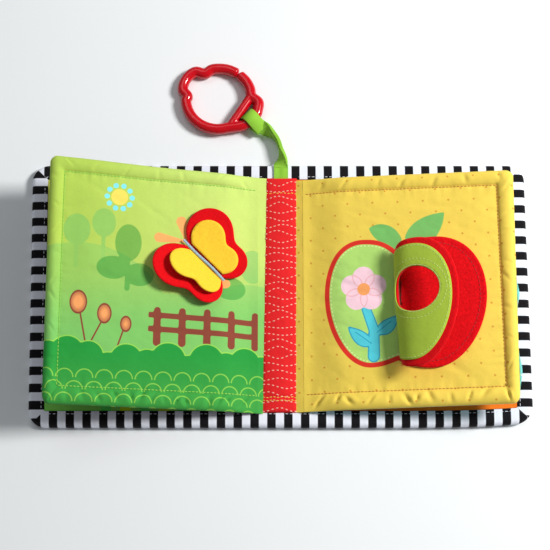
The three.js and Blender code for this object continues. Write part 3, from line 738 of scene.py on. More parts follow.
def dots_mask(f, where):
    """Staggered rows of small dots."""
    x, y, _ = f.parts(where)
    pitch = sizes().dots / MM
    row, radius, first_x, first_y = 8.25, 0.72, 14.2, 63.1
    masks = []
    for start_x, start_y in ((first_x, first_y), (first_x + pitch / 2, first_y - row)):
        masks.append(f.within(f.reach(f.cell(x, pitch, start_x), f.cell(y, 2 * row, start_y)), radius, 0.3))
    return f.math("MAXIMUM", *masks)


def right_page_paint(f, where):
    """Print of the right page: dots, and an apple cut open with a flower inside."""
    c = colours()
    apple = f.number("apple")
    dots = f.times(dots_mask(f, where), f.within(f.times(apple, -1.0), -2.0))
    paint = f.mix(f.times(dots, 0.85), c.page_yellow, c.dot_orange)
    paint = f.fill(paint, "apple_leaves", c.leaf_green)
    paint = f.mix(f.within(apple), paint, c.apple_red)
    paint = f.mix(f.within(apple, -3.3), paint, c.apple_green)
    stitches = f.times(f.line(apple, 0.8, -4.3), f.dashes(f.number("apple_along"), 2.9))
    paint = f.mix(stitches, paint, c.apple_dash)
    stem = f.number("stem")
    paint = f.mix(f.within(stem), paint, c.turquoise)
    paint = f.mix(f.line(stem, 0.8), paint, c.teal)
    veins = f.most(*[f.within(f.far_from_line(where, *line), 0.3) for line in VEINS])
    paint = f.mix(veins, paint, c.teal)
    paint = f.fill(paint, "flower", c.pink)
    edges = f.most(*[f.line(f.far(where, *petal), 0.7, PETAL_RADIUS) for petal in PETALS])
    edges = f.times(edges, f.within(f.far(where, *FLOWER), 12.6))
    paint = f.mix(edges, paint, f.mix(0.3, c.pink, c.apple_red))
    return f.fill(paint, "flower_heart", c.orange)


def left_back_paint(f, where):
    """Dark cloth with faint dots, on the left page's back. Its dark brown is partly the cloth's own colour and partly
    painted shade.
    """
    c = colours()
    return f.mix(f.times(dots_mask(f, where), 0.5), c.brown_back, c.orange)


def right_back_paint(f, where):
    """Turquoise cloth with light dots, on the right page's back."""
    c = colours()
    return f.mix(f.times(dots_mask(f, where), 0.7), c.turquoise_back, c.white)


def stripe_paint(f, where):
    """Dark and light stripes that run across the binding, mitred at its corners."""
    c = colours()
    place = f.add("Mix", f.span(f.number("mitre"), -0.15, 0.15), data_type="FLOAT")
    f.feed(place.inputs[2], f.number("stripe_y"))
    f.feed(place.inputs[3], f.number("stripe_x"))
    part = f.math("FRACT", f.math("ADD", place.outputs[0], 100.5))
    return f.mix(f.line(part, 0.51, 0.5, 0.012), c.white, c.black)


def left_lining_paint(f, where):
    """Yellow at the outer side, green with upright stripes of two greens at the foot."""
    c = colours()
    pitch, outer_end, foot_top = 13.2, 124.0, -62.0
    x, y, _ = f.parts(where)
    stripe = f.math("FRACT", f.math("MULTIPLY_ADD", x, 1 / pitch, 20.27))
    pair = f.math("FRACT", f.math("MULTIPLY_ADD", x, 1 / (2 * pitch), 20.2))
    ink = f.mix(f.within(pair, 0.5, 0.01), c.green_stripe, c.lime_stripe)
    stripes = f.times(f.within(stripe, 0.55, 0.02), f.within(f.times(x, -1.0), outer_end))
    foot = f.mix(stripes, c.green_lining, ink)
    return f.mix(f.within(y, foot_top, 1.5), c.yellow_lining, foot)


# Repeated stitches


def stitch_tree():
    """Geometry Nodes: one low, rounded stitch at each step along the edges of a path."""
    tree = bpy.data.node_groups.get("Stitches")
    if tree:
        return tree
    tree = bpy.data.node_groups.new("Stitches", "GeometryNodeTree")
    tree.interface.new_socket("Path", in_out="INPUT", socket_type="NodeSocketGeometry")
    for name, default in (("Pitch", 0.003), ("Length", 0.002), ("Width", 0.0006), ("Height", 0.0005)):
        socket = tree.interface.new_socket(name, in_out="INPUT", socket_type="NodeSocketFloat")
        socket.default_value = default
        socket.min_value = 0.0001
        socket.subtype = "DISTANCE"
    tree.interface.new_socket("Thread", in_out="INPUT", socket_type="NodeSocketMaterial")
    tree.interface.new_socket("Stitches", in_out="OUTPUT", socket_type="NodeSocketGeometry")
    kinds = (
        "NodeGroupInput", "NodeGroupOutput", "GeometryNodeMeshToCurve", "GeometryNodeSetCurveNormal",
        "GeometryNodeCurveToPoints", "GeometryNodeMeshUVSphere", "ShaderNodeCombineXYZ",
        "GeometryNodeInstanceOnPoints", "GeometryNodeRealizeInstances", "GeometryNodeSetMaterial"
    )
    given, result, curve, upright, steps, bead, scale, place, real, paint = map(tree.nodes.new, kinds)
    upright.mode = "Z_UP"
    steps.mode = "LENGTH"
    for name, value in (("Segments", 8), ("Rings", 5), ("Radius", 0.5)):
        bead.inputs[name].default_value = value
    joins = [
        (given.outputs["Path"], curve.inputs[0]), (curve.outputs[0], upright.inputs[0]),
        (upright.outputs[0], steps.inputs[0]), (given.outputs["Pitch"], steps.inputs["Length"]),
        (given.outputs["Width"], scale.inputs[0]), (given.outputs["Height"], scale.inputs[1]),
        (given.outputs["Length"], scale.inputs[2]), (steps.outputs["Points"], place.inputs["Points"]),
        (steps.outputs["Rotation"], place.inputs["Rotation"]), (bead.outputs["Mesh"], place.inputs["Instance"]),
        (scale.outputs[0], place.inputs["Scale"]), (place.outputs[0], real.inputs[0]),
        (real.outputs[0], paint.inputs[0]), (given.outputs["Thread"], paint.inputs["Material"]),
        (paint.outputs[0], result.inputs[0]),
    ]
    for source, target in joins:
        tree.links.new(source, target)
    return tree


def stitched(name, paths, material, pitch, long, wide, high):
    """One mesh of stitches along paths of points in millimetres."""
    points, edges = [], []
    for path in paths:
        start = len(points)
        points += [tuple(p) for p in np.asarray(path) * MM]
        edges += [(start + i, start + i + 1) for i in range(len(path) - 1)]
    mesh = bpy.data.meshes.new(name + ".path")
    mesh.from_pydata(points, edges, [])
    path = new_object(mesh)
    tree = stitch_tree()
    modifier = path.modifiers.new("Stitches", "NODES")
    modifier.node_group = tree
    wanted = {"Pitch": pitch * MM, "Length": long * MM, "Width": wide * MM, "Height": high * MM, "Thread": material}
    for item in tree.interface.items_tree:
        if item.name in wanted:
            modifier[item.identifier] = wanted[item.name]
    graph = bpy.context.evaluated_depsgraph_get()
    made = bpy.data.meshes.new_from_object(path.evaluated_get(graph), depsgraph=graph)
    made.name = name
    made.polygons.foreach_set("use_smooth", np.ones(len(made.polygons), bool))
    bpy.data.objects.remove(path)
    bpy.data.meshes.remove(mesh)
    return new_object(made)


# Covers and spine


# How far each row of the binding's stripes is shifted, and how much longer than the plain pitch its stripes are
STRIPE_ROWS = {"top": (0.7, 1.012), "foot": (6.3, 1.01), "left": (-76.9, 1.049), "right": (17.8, 1.018)}


def cover_outline(side):
    """Half of the cover's outline, a point each millimetre, from the spine's middle at the foot to that at the top."""
    s = SIDES[side]
    w, h, r = COVER_REACH, COVER_HALF, COVER_CORNER
    points, normals = [], []

    def straight(a, b, normal):
        count = max(int(np.hypot(*np.subtract(b, a))), 1)
        for t in np.arange(count) / count:
            points.append(np.add(a, np.subtract(b, a) * t))
            normals.append(normal)

    def corner(centre, start, end):
        for angle in np.radians(np.linspace(start, end, 19)[:-1]):
            normal = (math.cos(angle), math.sin(angle))
            points.append(np.add(centre, np.multiply(normal, r)))
            normals.append(normal)

    straight((0, -h), (w - r, -h), (0, -1))
    corner((w - r, -h + r), -90, 0)
    straight((w, -h + r), (w, h - r), (1, 0))
    corner((w - r, h - r), 0, 90)
    straight((w - r, h), (0, h), (0, 1))
    points.append((0, h))
    normals.append((0, 1))
    return np.array(points) * (s, 1), np.array(normals) * (s, 1)


def lie_askew(points):
    """Places in a flat cover, moved a little as the cloth lies: wider towards its top, with a lifted right corner."""
    x, y = points[..., 0], points[..., 1]
    out = np.clip((np.abs(x) - 20) / (COVER_REACH - 20), 0, 1)
    v = np.clip((y + COVER_HALF) / (2 * COVER_HALF), 0, 1)
    placed = np.array(points, float)
    placed[..., 0] += out * np.where(x < 0, 0.8 - 6.4 * v, 3.0 * v - 0.6)
    placed[..., 1] += 1.3 + 1.2 * v + np.where(x > 0, 3.6 * out**5 * (1 - v) ** 2, 0)
    return placed


def stripe_values(side, x, y, placed_y):
    """Place in the row of stripes, along X and along Y, and which of the two the mitred corner shows."""
    pitch = sizes().stripe / MM

    def count(row, place):
        shifted, longer = STRIPE_ROWS[row]
        return (place + shifted) / (pitch * longer)

    mitre = (COVER_REACH - np.abs(x)) - (COVER_HALF - np.abs(y))
    along_x = np.where(y > 0, count("top", x), count("foot", x))
    return {"stripe_x": along_x, "stripe_y": count(side, placed_y), "mitre": mitre}


def binding_section():
    """Folded tape round the rim, as distance in from the edge and height, all the way round its closed outline."""
    w, high, tape = BINDING_WIDTH, COVER_THICKNESS + 0.35, 0.85
    r = high / 2
    outer = [(w, high - 0.45), (w - 0.12, high - 0.1), (w - 0.5, high)]
    outer += [(u, high + 0.12 * math.sin(math.pi * (w - u) / (w - r))) for u in (9, 7.4, 5.8, 4.4)]
    outer += [(r - r * math.sin(a), r + r * math.cos(a)) for a in np.radians(np.arange(0, 181, 15))]
    outer += [(5, 0.0), (8, 0.0), (w - 0.4, 0.0), (w, 0.3)]
    q = r - tape
    inner = [(w, 0.65), (w - 0.5, tape), (5, tape)]
    inner += [(r - q * math.sin(a), r - q * math.cos(a)) for a in np.radians(np.arange(0, 181, 22.5))]
    inner += [(5, high - tape), (w - 0.5, high - tape)]
    return np.array(outer + inner)


def blend_cover(piece):
    """Bakes a piece's placement into its mesh."""
    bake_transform(piece)


def make_binding(side, material, stitches):
    """Striped tape folded over one half of the rim, with the seam along its inner edge."""
    points, normals = cover_outline(side)
    section = binding_section()
    rows = np.zeros((len(points), len(section), 3))
    for j, (inset, height) in enumerate(section):
        rows[:, j, :2] = points - normals * inset
        rows[:, j, 2] = height
    along = np.arange(len(points))[:, None]
    soft = 0.12 * layered_noise(along + 0.0 * rows[:, :, 0], rows[:, :, 2] * 3, 14.0, sizes().seed)
    rows[:, :, 2] += np.where(rows[:, :, 2] > 3, soft, 0)
    flat = rows.reshape(-1, 3)
    places, faces = swept(lie_askew(rows))
    values = stripe_values(side, flat[:, 0], flat[:, 1], places[:, 1])
    piece = new_object(outward(build_mesh(side + "_striped_binding", places, faces, flat, values, 50)), material)
    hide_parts(side + "_cover_binding", "spine_binding_top", "spine_binding_bottom")
    blend_cover(piece)
    seam_inset = BINDING_WIDTH - 1.9
    row = points - normals * seam_inset
    path = lie_askew(at(*row.T, COVER_THICKNESS + 0.42))[4:-14]
    seam = stitched(side + "_binding_stitches", [path], stitches, 3.1, 2.2, 0.5, 0.32)
    blend_cover(seam)


def make_cover_sheet(name, side, low, high, material, nodes, sign):
    """Flat cloth of one side, inside of the binding, between two heights. sign is the way its face looks."""
    s = SIDES[side]
    inset = BINDING_WIDTH + 0.25
    xs = np.linspace(0, COVER_REACH - inset, 84)
    ys = np.linspace(-COVER_HALF + inset, COVER_HALF - inset, 88)
    x, y = np.meshgrid(xs, ys)
    near = np.minimum(COVER_REACH - inset - x, COVER_HALF - inset - np.abs(y))
    dip = 0.35 * np.exp(-near / 1.5) + 0.14 * (1 + layered_noise(x + 300 * (s > 0), y, 26.0, sizes().seed + 3))
    dip *= smooth(near / 2.0 + 0.3)
    top = high - (dip if sign > 0 else 0)
    bottom = low + (dip if sign < 0 else 0)
    upper, lower, flat = (at(s * x, y, z) for z in (top, bottom, 0))
    piece = new_object(shell(name, lie_askew(upper), lie_askew(lower), s < 0, flat), material)
    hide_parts(*nodes)
    blend_cover(piece)


# Pages

# Distances from a page's edge of the rows of points that make its puffed border
BORDER_STEPS = np.array([
    0, 0.25, 0.7, 1.4, 2.2, 3.1, 4.1, 5.1, 6.1, 7.1, 8.0, 8.8, 9.5, 10.1, 10.6, 11.1, 11.6, 12, 12.4, 12.9, 13.5, 14.2
])
PAGE_CORNER = 5.6
ROOT_RUN = 30.0
# How far each corner of a page is pulled askew: out and up at the outer top and foot, up at the root's top and foot
PAGE_WARP = {"left": ((1.0, 3.9), (-1.4, 3.2), 0.8, 1.4), "right": ((2.0, -1.1), (-1.3, 5.0), -1.0, 2.3)}
# How far the topstitch draws the cloth out: the outer side at top and foot, the others at the outer side and the root
BORDER_DRAWN = {"left": (2.1, 2.8, 1.0, 2.2), "right": (0.3, 3.2, 0.7, 1.0)}


def leaf_to_book(side, x, y, z):
    """From a page's own frame, with x outwards from its root, to the book's."""
    a = math.radians(LEAF_ANGLE[side])
    s = SIDES[side]
    out, up = x * math.cos(a) - z * math.sin(a), x * math.sin(a) + z * math.cos(a)
    return at(s * (LEAF_ROOT_X + out), y, LEAF_ROOT_Z + up)


def page_inset(x, y):
    """Distance from the nearest of the page's three free edges."""
    return np.minimum(LEAF_WIDTH - x, LEAF_HALF - np.abs(y))


def root_rise(x):
    """How far the page has swelled from its sewn root."""
    return 0.14 + 0.86 * smooth(x / ROOT_RUN)


def page_half(x, y):
    """Half of the page's thickness: thin rim, puffed border, sewn channel, padded middle and a flat root."""
    inset = np.maximum(page_inset(x, y), 0)
    channel_end = STITCH_INSET - 0.6
    share = np.clip(inset / channel_end, 0, 1)
    base = (EDGE_THICKNESS / 4) * (1 - share) + CHANNEL_THICKNESS / 2 * share
    border = base + (BORDER_THICKNESS / 2 - base) * np.sqrt(np.maximum(np.sin(math.pi * share), 0))
    crown = np.sqrt(smooth((inset - STITCH_INSET - 0.5) / CROWN_RUN))
    middle = (CHANNEL_THICKNESS * (1 - crown) + MIDDLE_THICKNESS * crown) / 2
    half = np.where(inset < channel_end, border, middle)
    root = root_rise(x)
    return EDGE_THICKNESS / 2 * (1 - root) + half * root


def page_spread(side, x, y):
    """Where a place on the page's flat cloth lies once its corners are rounded and the page is pulled askew."""
    zone = BORDER_STEPS[-1]
    a = np.maximum(x - (LEAF_WIDTH - zone), 0)
    b = np.maximum(np.abs(y) - (LEAF_HALF - zone), 0)
    m = np.maximum(a, b)
    safe = np.maximum(m, 1e-9)
    ax, bx = a / safe, b / safe
    straight = zone - PAGE_CORNER
    round_part = (np.minimum(ax, bx) * zone > straight) & (m > 1e-6)
    dd = ax**2 + bx**2
    dc = (ax + bx) * straight
    root = np.sqrt(np.maximum(dc**2 - dd * (2 * straight**2 - PAGE_CORNER**2), 0))
    k = np.where(round_part, (dc + root) / np.maximum(dd, 1e-9) / zone, 1.0)
    px = np.where(a > 0, LEAF_WIDTH - zone + a * k, x)
    py = np.where(b > 0, np.sign(y) * (LEAF_HALF - zone + b * k), y)
    outer_top, outer_foot, root_top, root_foot = PAGE_WARP[side]
    u, v = px / LEAF_WIDTH, (py + LEAF_HALF) / (2 * LEAF_HALF)
    top, foot, top_out, top_root = BORDER_DRAWN[side]

    def drawn(inset):
        return smooth(inset / STITCH_INSET) * (1 - smooth((inset - STITCH_INSET) / 16))

    px = px + drawn(LEAF_WIDTH - px) * (foot + (top - foot) * v)
    py = py + drawn(LEAF_HALF - py) * (top_root + (top_out - top_root) * u)
    dx, dy = (u * (v * top + (1 - v) * foot) for top, foot in zip(outer_top, outer_foot))
    dy += (1 - u) * (v * root_top + (1 - v) * root_foot)
    return px + dx, py + dy


def creases(side, x, y):
    """Depth of the folds that cross the puffed border, drawn in by its stitches."""
    rng = np.random.default_rng(sizes().seed + (11 if side == "left" else 23))
    edges = {
        "foot": (x, LEAF_HALF + y, 15 if side == "left" else 12, (12, LEAF_WIDTH - 12)),
        "top": (x, LEAF_HALF - y, 7, (10, LEAF_WIDTH - 14)),
        "outer": (y, LEAF_WIDTH - x, 9, (-LEAF_HALF + 14, LEAF_HALF - 14)),
    }
    depth = np.zeros(x.shape)
    for edge, (along, inside, count, (low, high)) in edges.items():
        strong = 1.5 if edge == "foot" else 0.7
        for place in np.linspace(low, high, count) + rng.uniform(-4, 4, count):
            slant = rng.uniform(-0.9, 0.9)
            width = rng.uniform(0.7, 1.6)
            centre = rng.uniform(4.5, 8.5)
            reach = rng.uniform(2.2, 4.2)
            weight = strong * rng.uniform(0.45, 1.0)
            off = along - place - slant * (inside - 6)
            window = np.exp(-(((inside - centre) / reach) ** 2)) * (inside < 13)
            depth += weight * np.exp(-((off / width) ** 2)) * window
            depth -= 0.35 * weight * np.exp(-(((off - 2.6 * width) / (1.6 * width)) ** 2)) * window
    return depth * sizes().pucker / MM


def page_wrinkles(side, x, y):
    """Low folds in the padded middle, and the small ripples along its stitched line. Never above the plain surface."""
    inset = page_inset(x, y)
    shift = 500.0 if side == "right" else 0.0
    seed = sizes().seed
    fold = layered_noise(x * 0.45 + y * 0.25 + shift, y * 0.9 - x * 0.35, 13.0, seed + 1)
    fine = soft_noise(x * 0.5 + shift, y * 1.3 + x * 0.5, 5.0, seed + 2)
    soft = (0.8 * fold + 0.3 * fine) * sizes().wrinkle / MM
    rng = np.random.default_rng(seed + (31 if side == "left" else 47))
    for _ in range(26):
        cx, cy = rng.uniform(18, LEAF_WIDTH - 16), rng.uniform(-LEAF_HALF + 18, LEAF_HALF - 18)
        slant = math.radians(rng.normal(-8, 24))
        off_x, off_y = x - cx, y - cy
        run = (off_x * math.cos(slant) + off_y * math.sin(slant)) / rng.uniform(8, 20)
        wide = (off_y * math.cos(slant) - off_x * math.sin(slant)) / rng.uniform(1.5, 2.8)
        soft = soft - rng.uniform(0.2, 0.5) * np.exp(-(run**2) - wide**2)
    along = np.where(LEAF_WIDTH - x < LEAF_HALF - np.abs(y), y, x)
    ripple = 0.35 * soft_noise(along + shift, inset * 0.2, 2.6, seed + 4)
    near = np.exp(-np.abs(inset - STITCH_INSET - 1.5) / 4.5)
    return (soft - 0.4) * smooth((inset - STITCH_INSET) / 8) + ripple * near * smooth(x / 6)


def page_lift(side, x, y):
    """How much the page's free corner stands above or hangs over its plane."""
    if side == "right":
        return 0.8 * smooth((x - 90) / 60) * smooth((-y + 20) / 80)
    lift = sizes().rest_lift / MM
    return smooth((x - 55) / 90) * lift * (0.5 + 0.5 * y / LEAF_HALF)


def page_surface(side, x, y, face=1):
    """Height of the page's front or back over its own plane, with its creases."""
    height = face * page_half(x, y)
    fall = creases(side, x, y) * smooth(page_inset(x, y) / 3.0)
    if face > 0:
        height = height - fall + page_wrinkles(side, x, y) * smooth(x / 8)
    else:
        height = height + 0.6 * fall
    return BORDER_MIDDLE * root_rise(x) + height + page_lift(side, x, y)


def page_place(side, x, y, z):
    """Place in the book of a point of the page's flat cloth at a height."""
    px, py = page_spread(side, x, y)
    return leaf_to_book(side, px, py, z)


def page_grid(keep=0.0, coarse=1):
    """Rows of points over the page, closest in its border. keep is the least inset, and coarse thins them out."""
    zone = BORDER_STEPS[-1]
    border = BORDER_STEPS[BORDER_STEPS >= keep][::coarse]
    if border[-1] != zone:
        border = np.append(border, zone)
    columns = np.concatenate([np.linspace(0, LEAF_WIDTH - zone, 108 // coarse)[:-1], LEAF_WIDTH - border[::-1]])
    middle = np.linspace(-LEAF_HALF + zone, LEAF_HALF - zone, 118 // coarse)[1:-1]
    rows = np.concatenate([-LEAF_HALF + border, middle, LEAF_HALF - border[::-1]])
    return np.meshgrid(columns, rows)


def blend_page(piece):
    """Bakes a piece's placement into its mesh."""
    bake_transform(piece)


def page_cloth(name, side, face, material, values, node):
    """Front or back cloth of a padded page. The right page's back peeks out in two places at its outer side."""
    x, y = page_grid()
    if side == "right" and face < 0:
        peek = 1.7 * np.exp(-(((y + 7) / 7) ** 2)) + 2.0 * np.exp(-(((y + 62) / 9) ** 2))
        x = x + peek * smooth((x - LEAF_WIDTH + 8) / 8)
    s = SIDES[side]
    outer = page_surface(side, x, y, face)
    core = BORDER_MIDDLE * root_rise(x) + page_lift(side, x, y)
    inner = core + face * np.maximum(np.abs(outer - core) - 0.6, 0.05)
    upper, lower = (outer, inner) if face > 0 else (inner, outer)
    px, py = page_spread(side, x, y)
    numbers = {key: value(s * px, py) for key, value in values.items()}
    up, down = page_place(side, x, y, upper), page_place(side, x, y, lower)
    piece = new_object(shell(name, up, down, s < 0, at(s * px, py, 0), numbers), material)
    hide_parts(node)
    blend_page(piece)


def page_padding(side, material):
    """Batting between a page's two cloths, clear of both."""
    x, y = page_grid(keep=2.0, coarse=2)
    start, gathered = 7.0, 7
    x = np.maximum(x, start)
    x[:, 1:gathered] = start + (x[:, gathered : gathered + 1] - start) * np.arange(1, gathered) / gathered
    core = BORDER_MIDDLE * root_rise(x) + page_lift(side, x, y)
    room = 1.0 + 0.8 * (page_inset(x, y) < 14)
    upper = core + np.maximum(page_surface(side, x, y, 1) - core - room, 0.12)
    lower = core - np.maximum(core - page_surface(side, x, y, -1) - room, 0.12)
    s = SIDES[side]
    up, down = page_place(side, x, y, upper), page_place(side, x, y, lower)
    piece = new_object(shell(side + "_page_padding", up, down, s < 0, at(s * x, y, 0)), material)
    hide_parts(side + "_leaf_batting")
    blend_page(piece)


def page_stitches(side, material):
    """Topstitch round three sides of the page, in the channel beside its puffed border, on the front."""
    edge = LEAF_HALF - STITCH_INSET
    out = LEAF_WIDTH - STITCH_INSET
    x = np.concatenate([np.linspace(3, out, 130), np.full(140, out), np.linspace(out, 3, 130)])
    y = np.concatenate([np.full(130, edge), np.linspace(edge, -edge, 140), np.full(130, -edge)])
    path = page_place(side, x, y, page_surface(side, x, y) + 0.1)
    s = sizes()
    name = side + "_page_stitches"
    piece = stitched(name, [path], material, s.stitch_pitch / MM * 0.85, s.stitch / MM, s.thread / MM * 1.25, 0.55)
    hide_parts(side + "_leaf_topstitch")
    blend_page(piece)


def make_gusset(side, material):
    """Unpadded cloth that carries on from the page to the strip over the spine."""
    s = SIDES[side]
    t, y = np.meshgrid(np.linspace(0, 1, 9), np.linspace(-LEAF_HALF, LEAF_HALF, 150))
    top, foot = PAGE_WARP[side][2:]
    v = (y + LEAF_HALF) / (2 * LEAF_HALF)
    py = y + v * top + (1 - v) * foot
    first = s * strip_edge(s * (STRIP_HALF - 0.1), py)
    x = first + t * (LEAF_ROOT_X + 0.5 - first)
    near_root = np.full(y.shape, 0.4)
    leaf_top = page_place(side, near_root, y, page_surface(side, near_root, y))[..., 2]
    strip_level = 6.9
    waves = 0.12 * soft_noise(y, t * 3, 4.0, sizes().seed + 6) * np.sin(math.pi * t)
    z = strip_level + (leaf_top - strip_level) * t + waves
    upper, lower, flat = at(s * x, py, z), at(s * x, py, z - 0.5), at(s * (x - LEAF_ROOT_X), py, 0)
    unprinted = 50.0
    far = {key: np.full(x.shape, unprinted) for key in FIGURES[side]}
    if side == "left":
        far.update({key: FIGURES["left"][key](s * (x - LEAF_ROOT_X), py) for key in ("hills", "meadow")})
    piece = new_object(shell(side + "_page_root", upper, lower, s < 0, flat, far), material)
    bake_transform(piece)


# Printed figures, as distances from their outlines in millimetres


def disc(x, y, cx, cy, rx, ry=None):
    """A circle, or an ellipse where there are two radii."""
    ry = ry or rx
    return (np.hypot((x - cx) / rx, (y - cy) / ry) - 1) * min(rx, ry)


def taper(x, y, a, b, ra, rb):
    """A round-ended line from a to b, with a radius at each end."""
    dx, dy = b[0] - a[0], b[1] - a[1]
    t = np.clip(((x - a[0]) * dx + (y - a[1]) * dy) / (dx * dx + dy * dy), 0, 1)
    return np.hypot(x - a[0] - t * dx, y - a[1] - t * dy) - (ra + (rb - ra) * t)


def nearest(*distances):
    return np.minimum.reduce(distances)


def figure(*parts):
    """Distance from the nearest of a figure's parts: discs as middle and radii, or tapered lines as ends and radii."""
    def distance(x, y):
        return nearest(*[(taper if isinstance(part[0], tuple) else disc)(x, y, *part) for part in parts])

    return distance


def around(middle, reach, angles):
    """Places round a middle."""
    return [(middle[0] + reach * math.cos(a), middle[1] + reach * math.sin(a)) for a in angles]


STEMS = [((-122, -18), (-117, -42)), ((-106, -23), (-115, -42)), ((-92, -29), (-98, -48))]
SUN = (-98, 62)


def fence(x, y):
    """Two rails that end at the left, and five posts."""
    posts = figure(*[((px, -16), (px, -38), 2.3, 2.6) for px in (-70, -53, -36, -19, -2)])
    low, high = (np.abs(y + level + 0.03 * x) - 1.9 for level in (31, 21.5))
    end = -76 - x
    return nearest(np.maximum(low, end), np.maximum(high, end), posts(x, y))


def meadow(x, y):
    """Grass with a bumpy top."""
    bumps = figure(
        (-142, -52, 12), (-129, -47, 11), (-115, -49, 10), (-102, -55, 9), (-90, -51, 11), (-76, -53, 10),
        (-62, -50, 12), (-48, -55, 9), (-36, -50, 12), (-22, -53, 10), (-9, -50, 11), (3, -53, 9)
    )
    return nearest(y + 55.5, bumps(x, y))


def apple_outline(half_width, half_height, inner=0.0):
    """Right half of the apple, from its top notch round to the foot."""
    w, h = half_width, half_height
    points = [
        (inner, 0.82 * h), (0.14 * w, 0.96 * h), (0.26 * w, h), (0.45 * w, h), (0.8 * w, h), (w, 0.62 * h),
        (w, 0.12 * h), (w, -0.42 * h), (0.72 * w, -h), (0.38 * w, -h), (0.22 * w, -h), (0.12 * w, -0.95 * h),
        (inner, -0.9 * h)
    ]
    return np.concatenate([cubics(points, 14, 22, 22, 14), points[-1:]])


def printed_apple():
    right = apple_outline(49.5, 45.0)
    whole = np.concatenate([right, (right * (-1, 1))[::-1][1:-1]])
    return whole + (APPLE[0] - LEAF_ROOT_X, APPLE[1])


def apple_leaves(x, y):
    first = cubics([
        (46.3, 44.6), (52.5, 49.5), (64.5, 48.0), (68.9, 36.0), (68.0, 30.0), (66.0, 28.0), (64.5, 26.5),
        (61.0, 31.0), (50.0, 33.0)
    ], 14, 5, 14)
    second = cubics([
        (71.0, 36.5), (73.5, 46.5), (83.0, 53.0), (98.6, 54.0), (98.0, 44.0), (93.0, 35.0), (86.0, 30.0),
        (80.0, 30.0), (74.0, 32.0)
    ], 14, 14, 6)
    return nearest(outline_distance(x, y, first)[0], outline_distance(x, y, second)[0])


FLOWER = (42.0, 1.0)
PETALS = around(FLOWER, 8.6, np.radians(np.arange(90, 450, 72)))
PETAL_RADIUS = 7.4


def stem(x, y):
    """Stem of the flower in the apple, with a leaf at each side."""
    leaves = [
        cubics([(49.5, -30), (52.0, -20), (60.0, -20), (65.0, -18), (64, -28), (58, -34)], 14, 14),
        cubics([(47.5, -38), (45.0, -28), (37.0, -27), (31.0, -25), (33, -36), (40, -42)], 14, 14)
    ]
    stalk = figure(((43.5, -13), (48.5, -28), 2.9, 3.3), ((48.5, -28), (48.0, -46), 3.3, 3.8))
    return nearest(stalk(x, y), *[outline_distance(x, y, leaf)[0] for leaf in leaves])


VEINS = [((50.5, -29.5), (60, -22)), ((46.5, -37.0), (36, -29))]

FIGURES = {
    "left": {
        "hills": figure((-122, -36, 64), (-64, -66, 62), (-6, -44, 50)),
        "crowns": figure((-126, 37, 9, 11), (-108, 43, 8, 10), (-4, 19, 9, 12), ((-126, 30), (-126, 12), 1.2, 1.6),
                         ((-108, 36), (-108, 16), 1.2, 1.6)),
        "bushes": figure((-91, 30, 9, 13), (-101, 12, 11, 8), (-83, 8, 10, 8), (-20, 2, 11, 8),
                         ((-91, 20), (-91, -2), 1.4, 1.8)),
        "fence": fence,
        "heads": figure((-123, -13, 5.4, 7.6), (-105.5, -20, 4.4, 6.4), (-91, -26.5, 3.4, 5)),
        "rays": figure(*[(*dot, 1.9) for dot in around(SUN, 8.6, np.arange(10) * math.tau / 10)]),
        "sun": figure((*SUN, 5.8)),
        "meadow": meadow,
        "feelers": figure(((-54.9, 47.6), (-51.6, 35.0), 3.7, 0.9), ((-70.0, 35.4), (-52.4, 33.6), 3.5, 0.9),
                          (-24.6, 5.2, 4.6, 3.4)),
    },
    "right": {
        "apple": lambda x, y: outline_distance(x, y, printed_apple())[0],
        "apple_along": lambda x, y: outline_distance(x, y, printed_apple())[1],
        "apple_leaves": apple_leaves,
        "flower": figure(*[(*petal, PETAL_RADIUS) for petal in PETALS]),
        "flower_heart": figure((*FLOWER, 4.4)),
        "stem": stem,
    },
}


# Frames of the moving felt pieces, as four by four matrices in millimetres


def shift(x, y, z):
    m = np.eye(4)
    m[:3, 3] = (x, y, z)
    return m


def turn(axis, degrees):
    m = np.eye(4)
    m[:3, :3] = np.array(Matrix.Rotation(math.radians(degrees), 3, axis))
    return m


def move(matrix, points):
    return points @ matrix[:3, :3].T + matrix[:3, 3]


def leaf_frame(side):
    s = SIDES[side]
    return shift(s * LEAF_ROOT_X, 0, LEAF_ROOT_Z) @ turn("Y", -s * LEAF_ANGLE[side])


def butterfly_frame():
    place = shift(BUTTERFLY[0] + LEAF_ROOT_X, BUTTERFLY[1], LEAF_SURFACE)
    return leaf_frame("left") @ place @ turn("Z", BUTTERFLY_TURN)


# Each wing's two lobes as middle and radius, its distance from the seam, the felt's thickness and length and width, how
# many degrees the left and the right wing stand up, and how far the left wing is slid along the seam
WINGS = {
    "red": {"fore": (-11.7, 17.8, 17.2), "hind": (13.6, 12.8, 12.4), "offset": 1.8, "felt": 1.4, "cut": (55, 33),
            "left": 10, "right": 4, "slide": 0.8},
    "yellow": {"fore": (-9.5, 13.8, 12.2), "hind": (10, 10.2, 9.8), "offset": 3.0, "felt": 1.3, "cut": (41.5, 22.6),
               "left": 14, "right": 3, "slide": 2.4},
}
LAYER_GAP = 0.3


def wing_frame(kind, half):
    """Frame of one wing at rest, with x along the seam and y away from it. The yellow wing lies on the red one."""
    side = SIDES[half]
    red = WINGS["red"]
    rise = LAYER_GAP + red["felt"] / 2
    frame_red = butterfly_frame() @ shift(0, side * red["offset"], rise) @ turn("X", side * red[half])
    if kind == "red":
        return frame_red
    yellow = WINGS["yellow"]
    apart = yellow["offset"] - red["offset"]
    rise = (red["felt"] + yellow["felt"]) / 2 + LAYER_GAP
    return frame_red @ shift(0, side * apart, rise) @ turn("X", side * yellow[half])


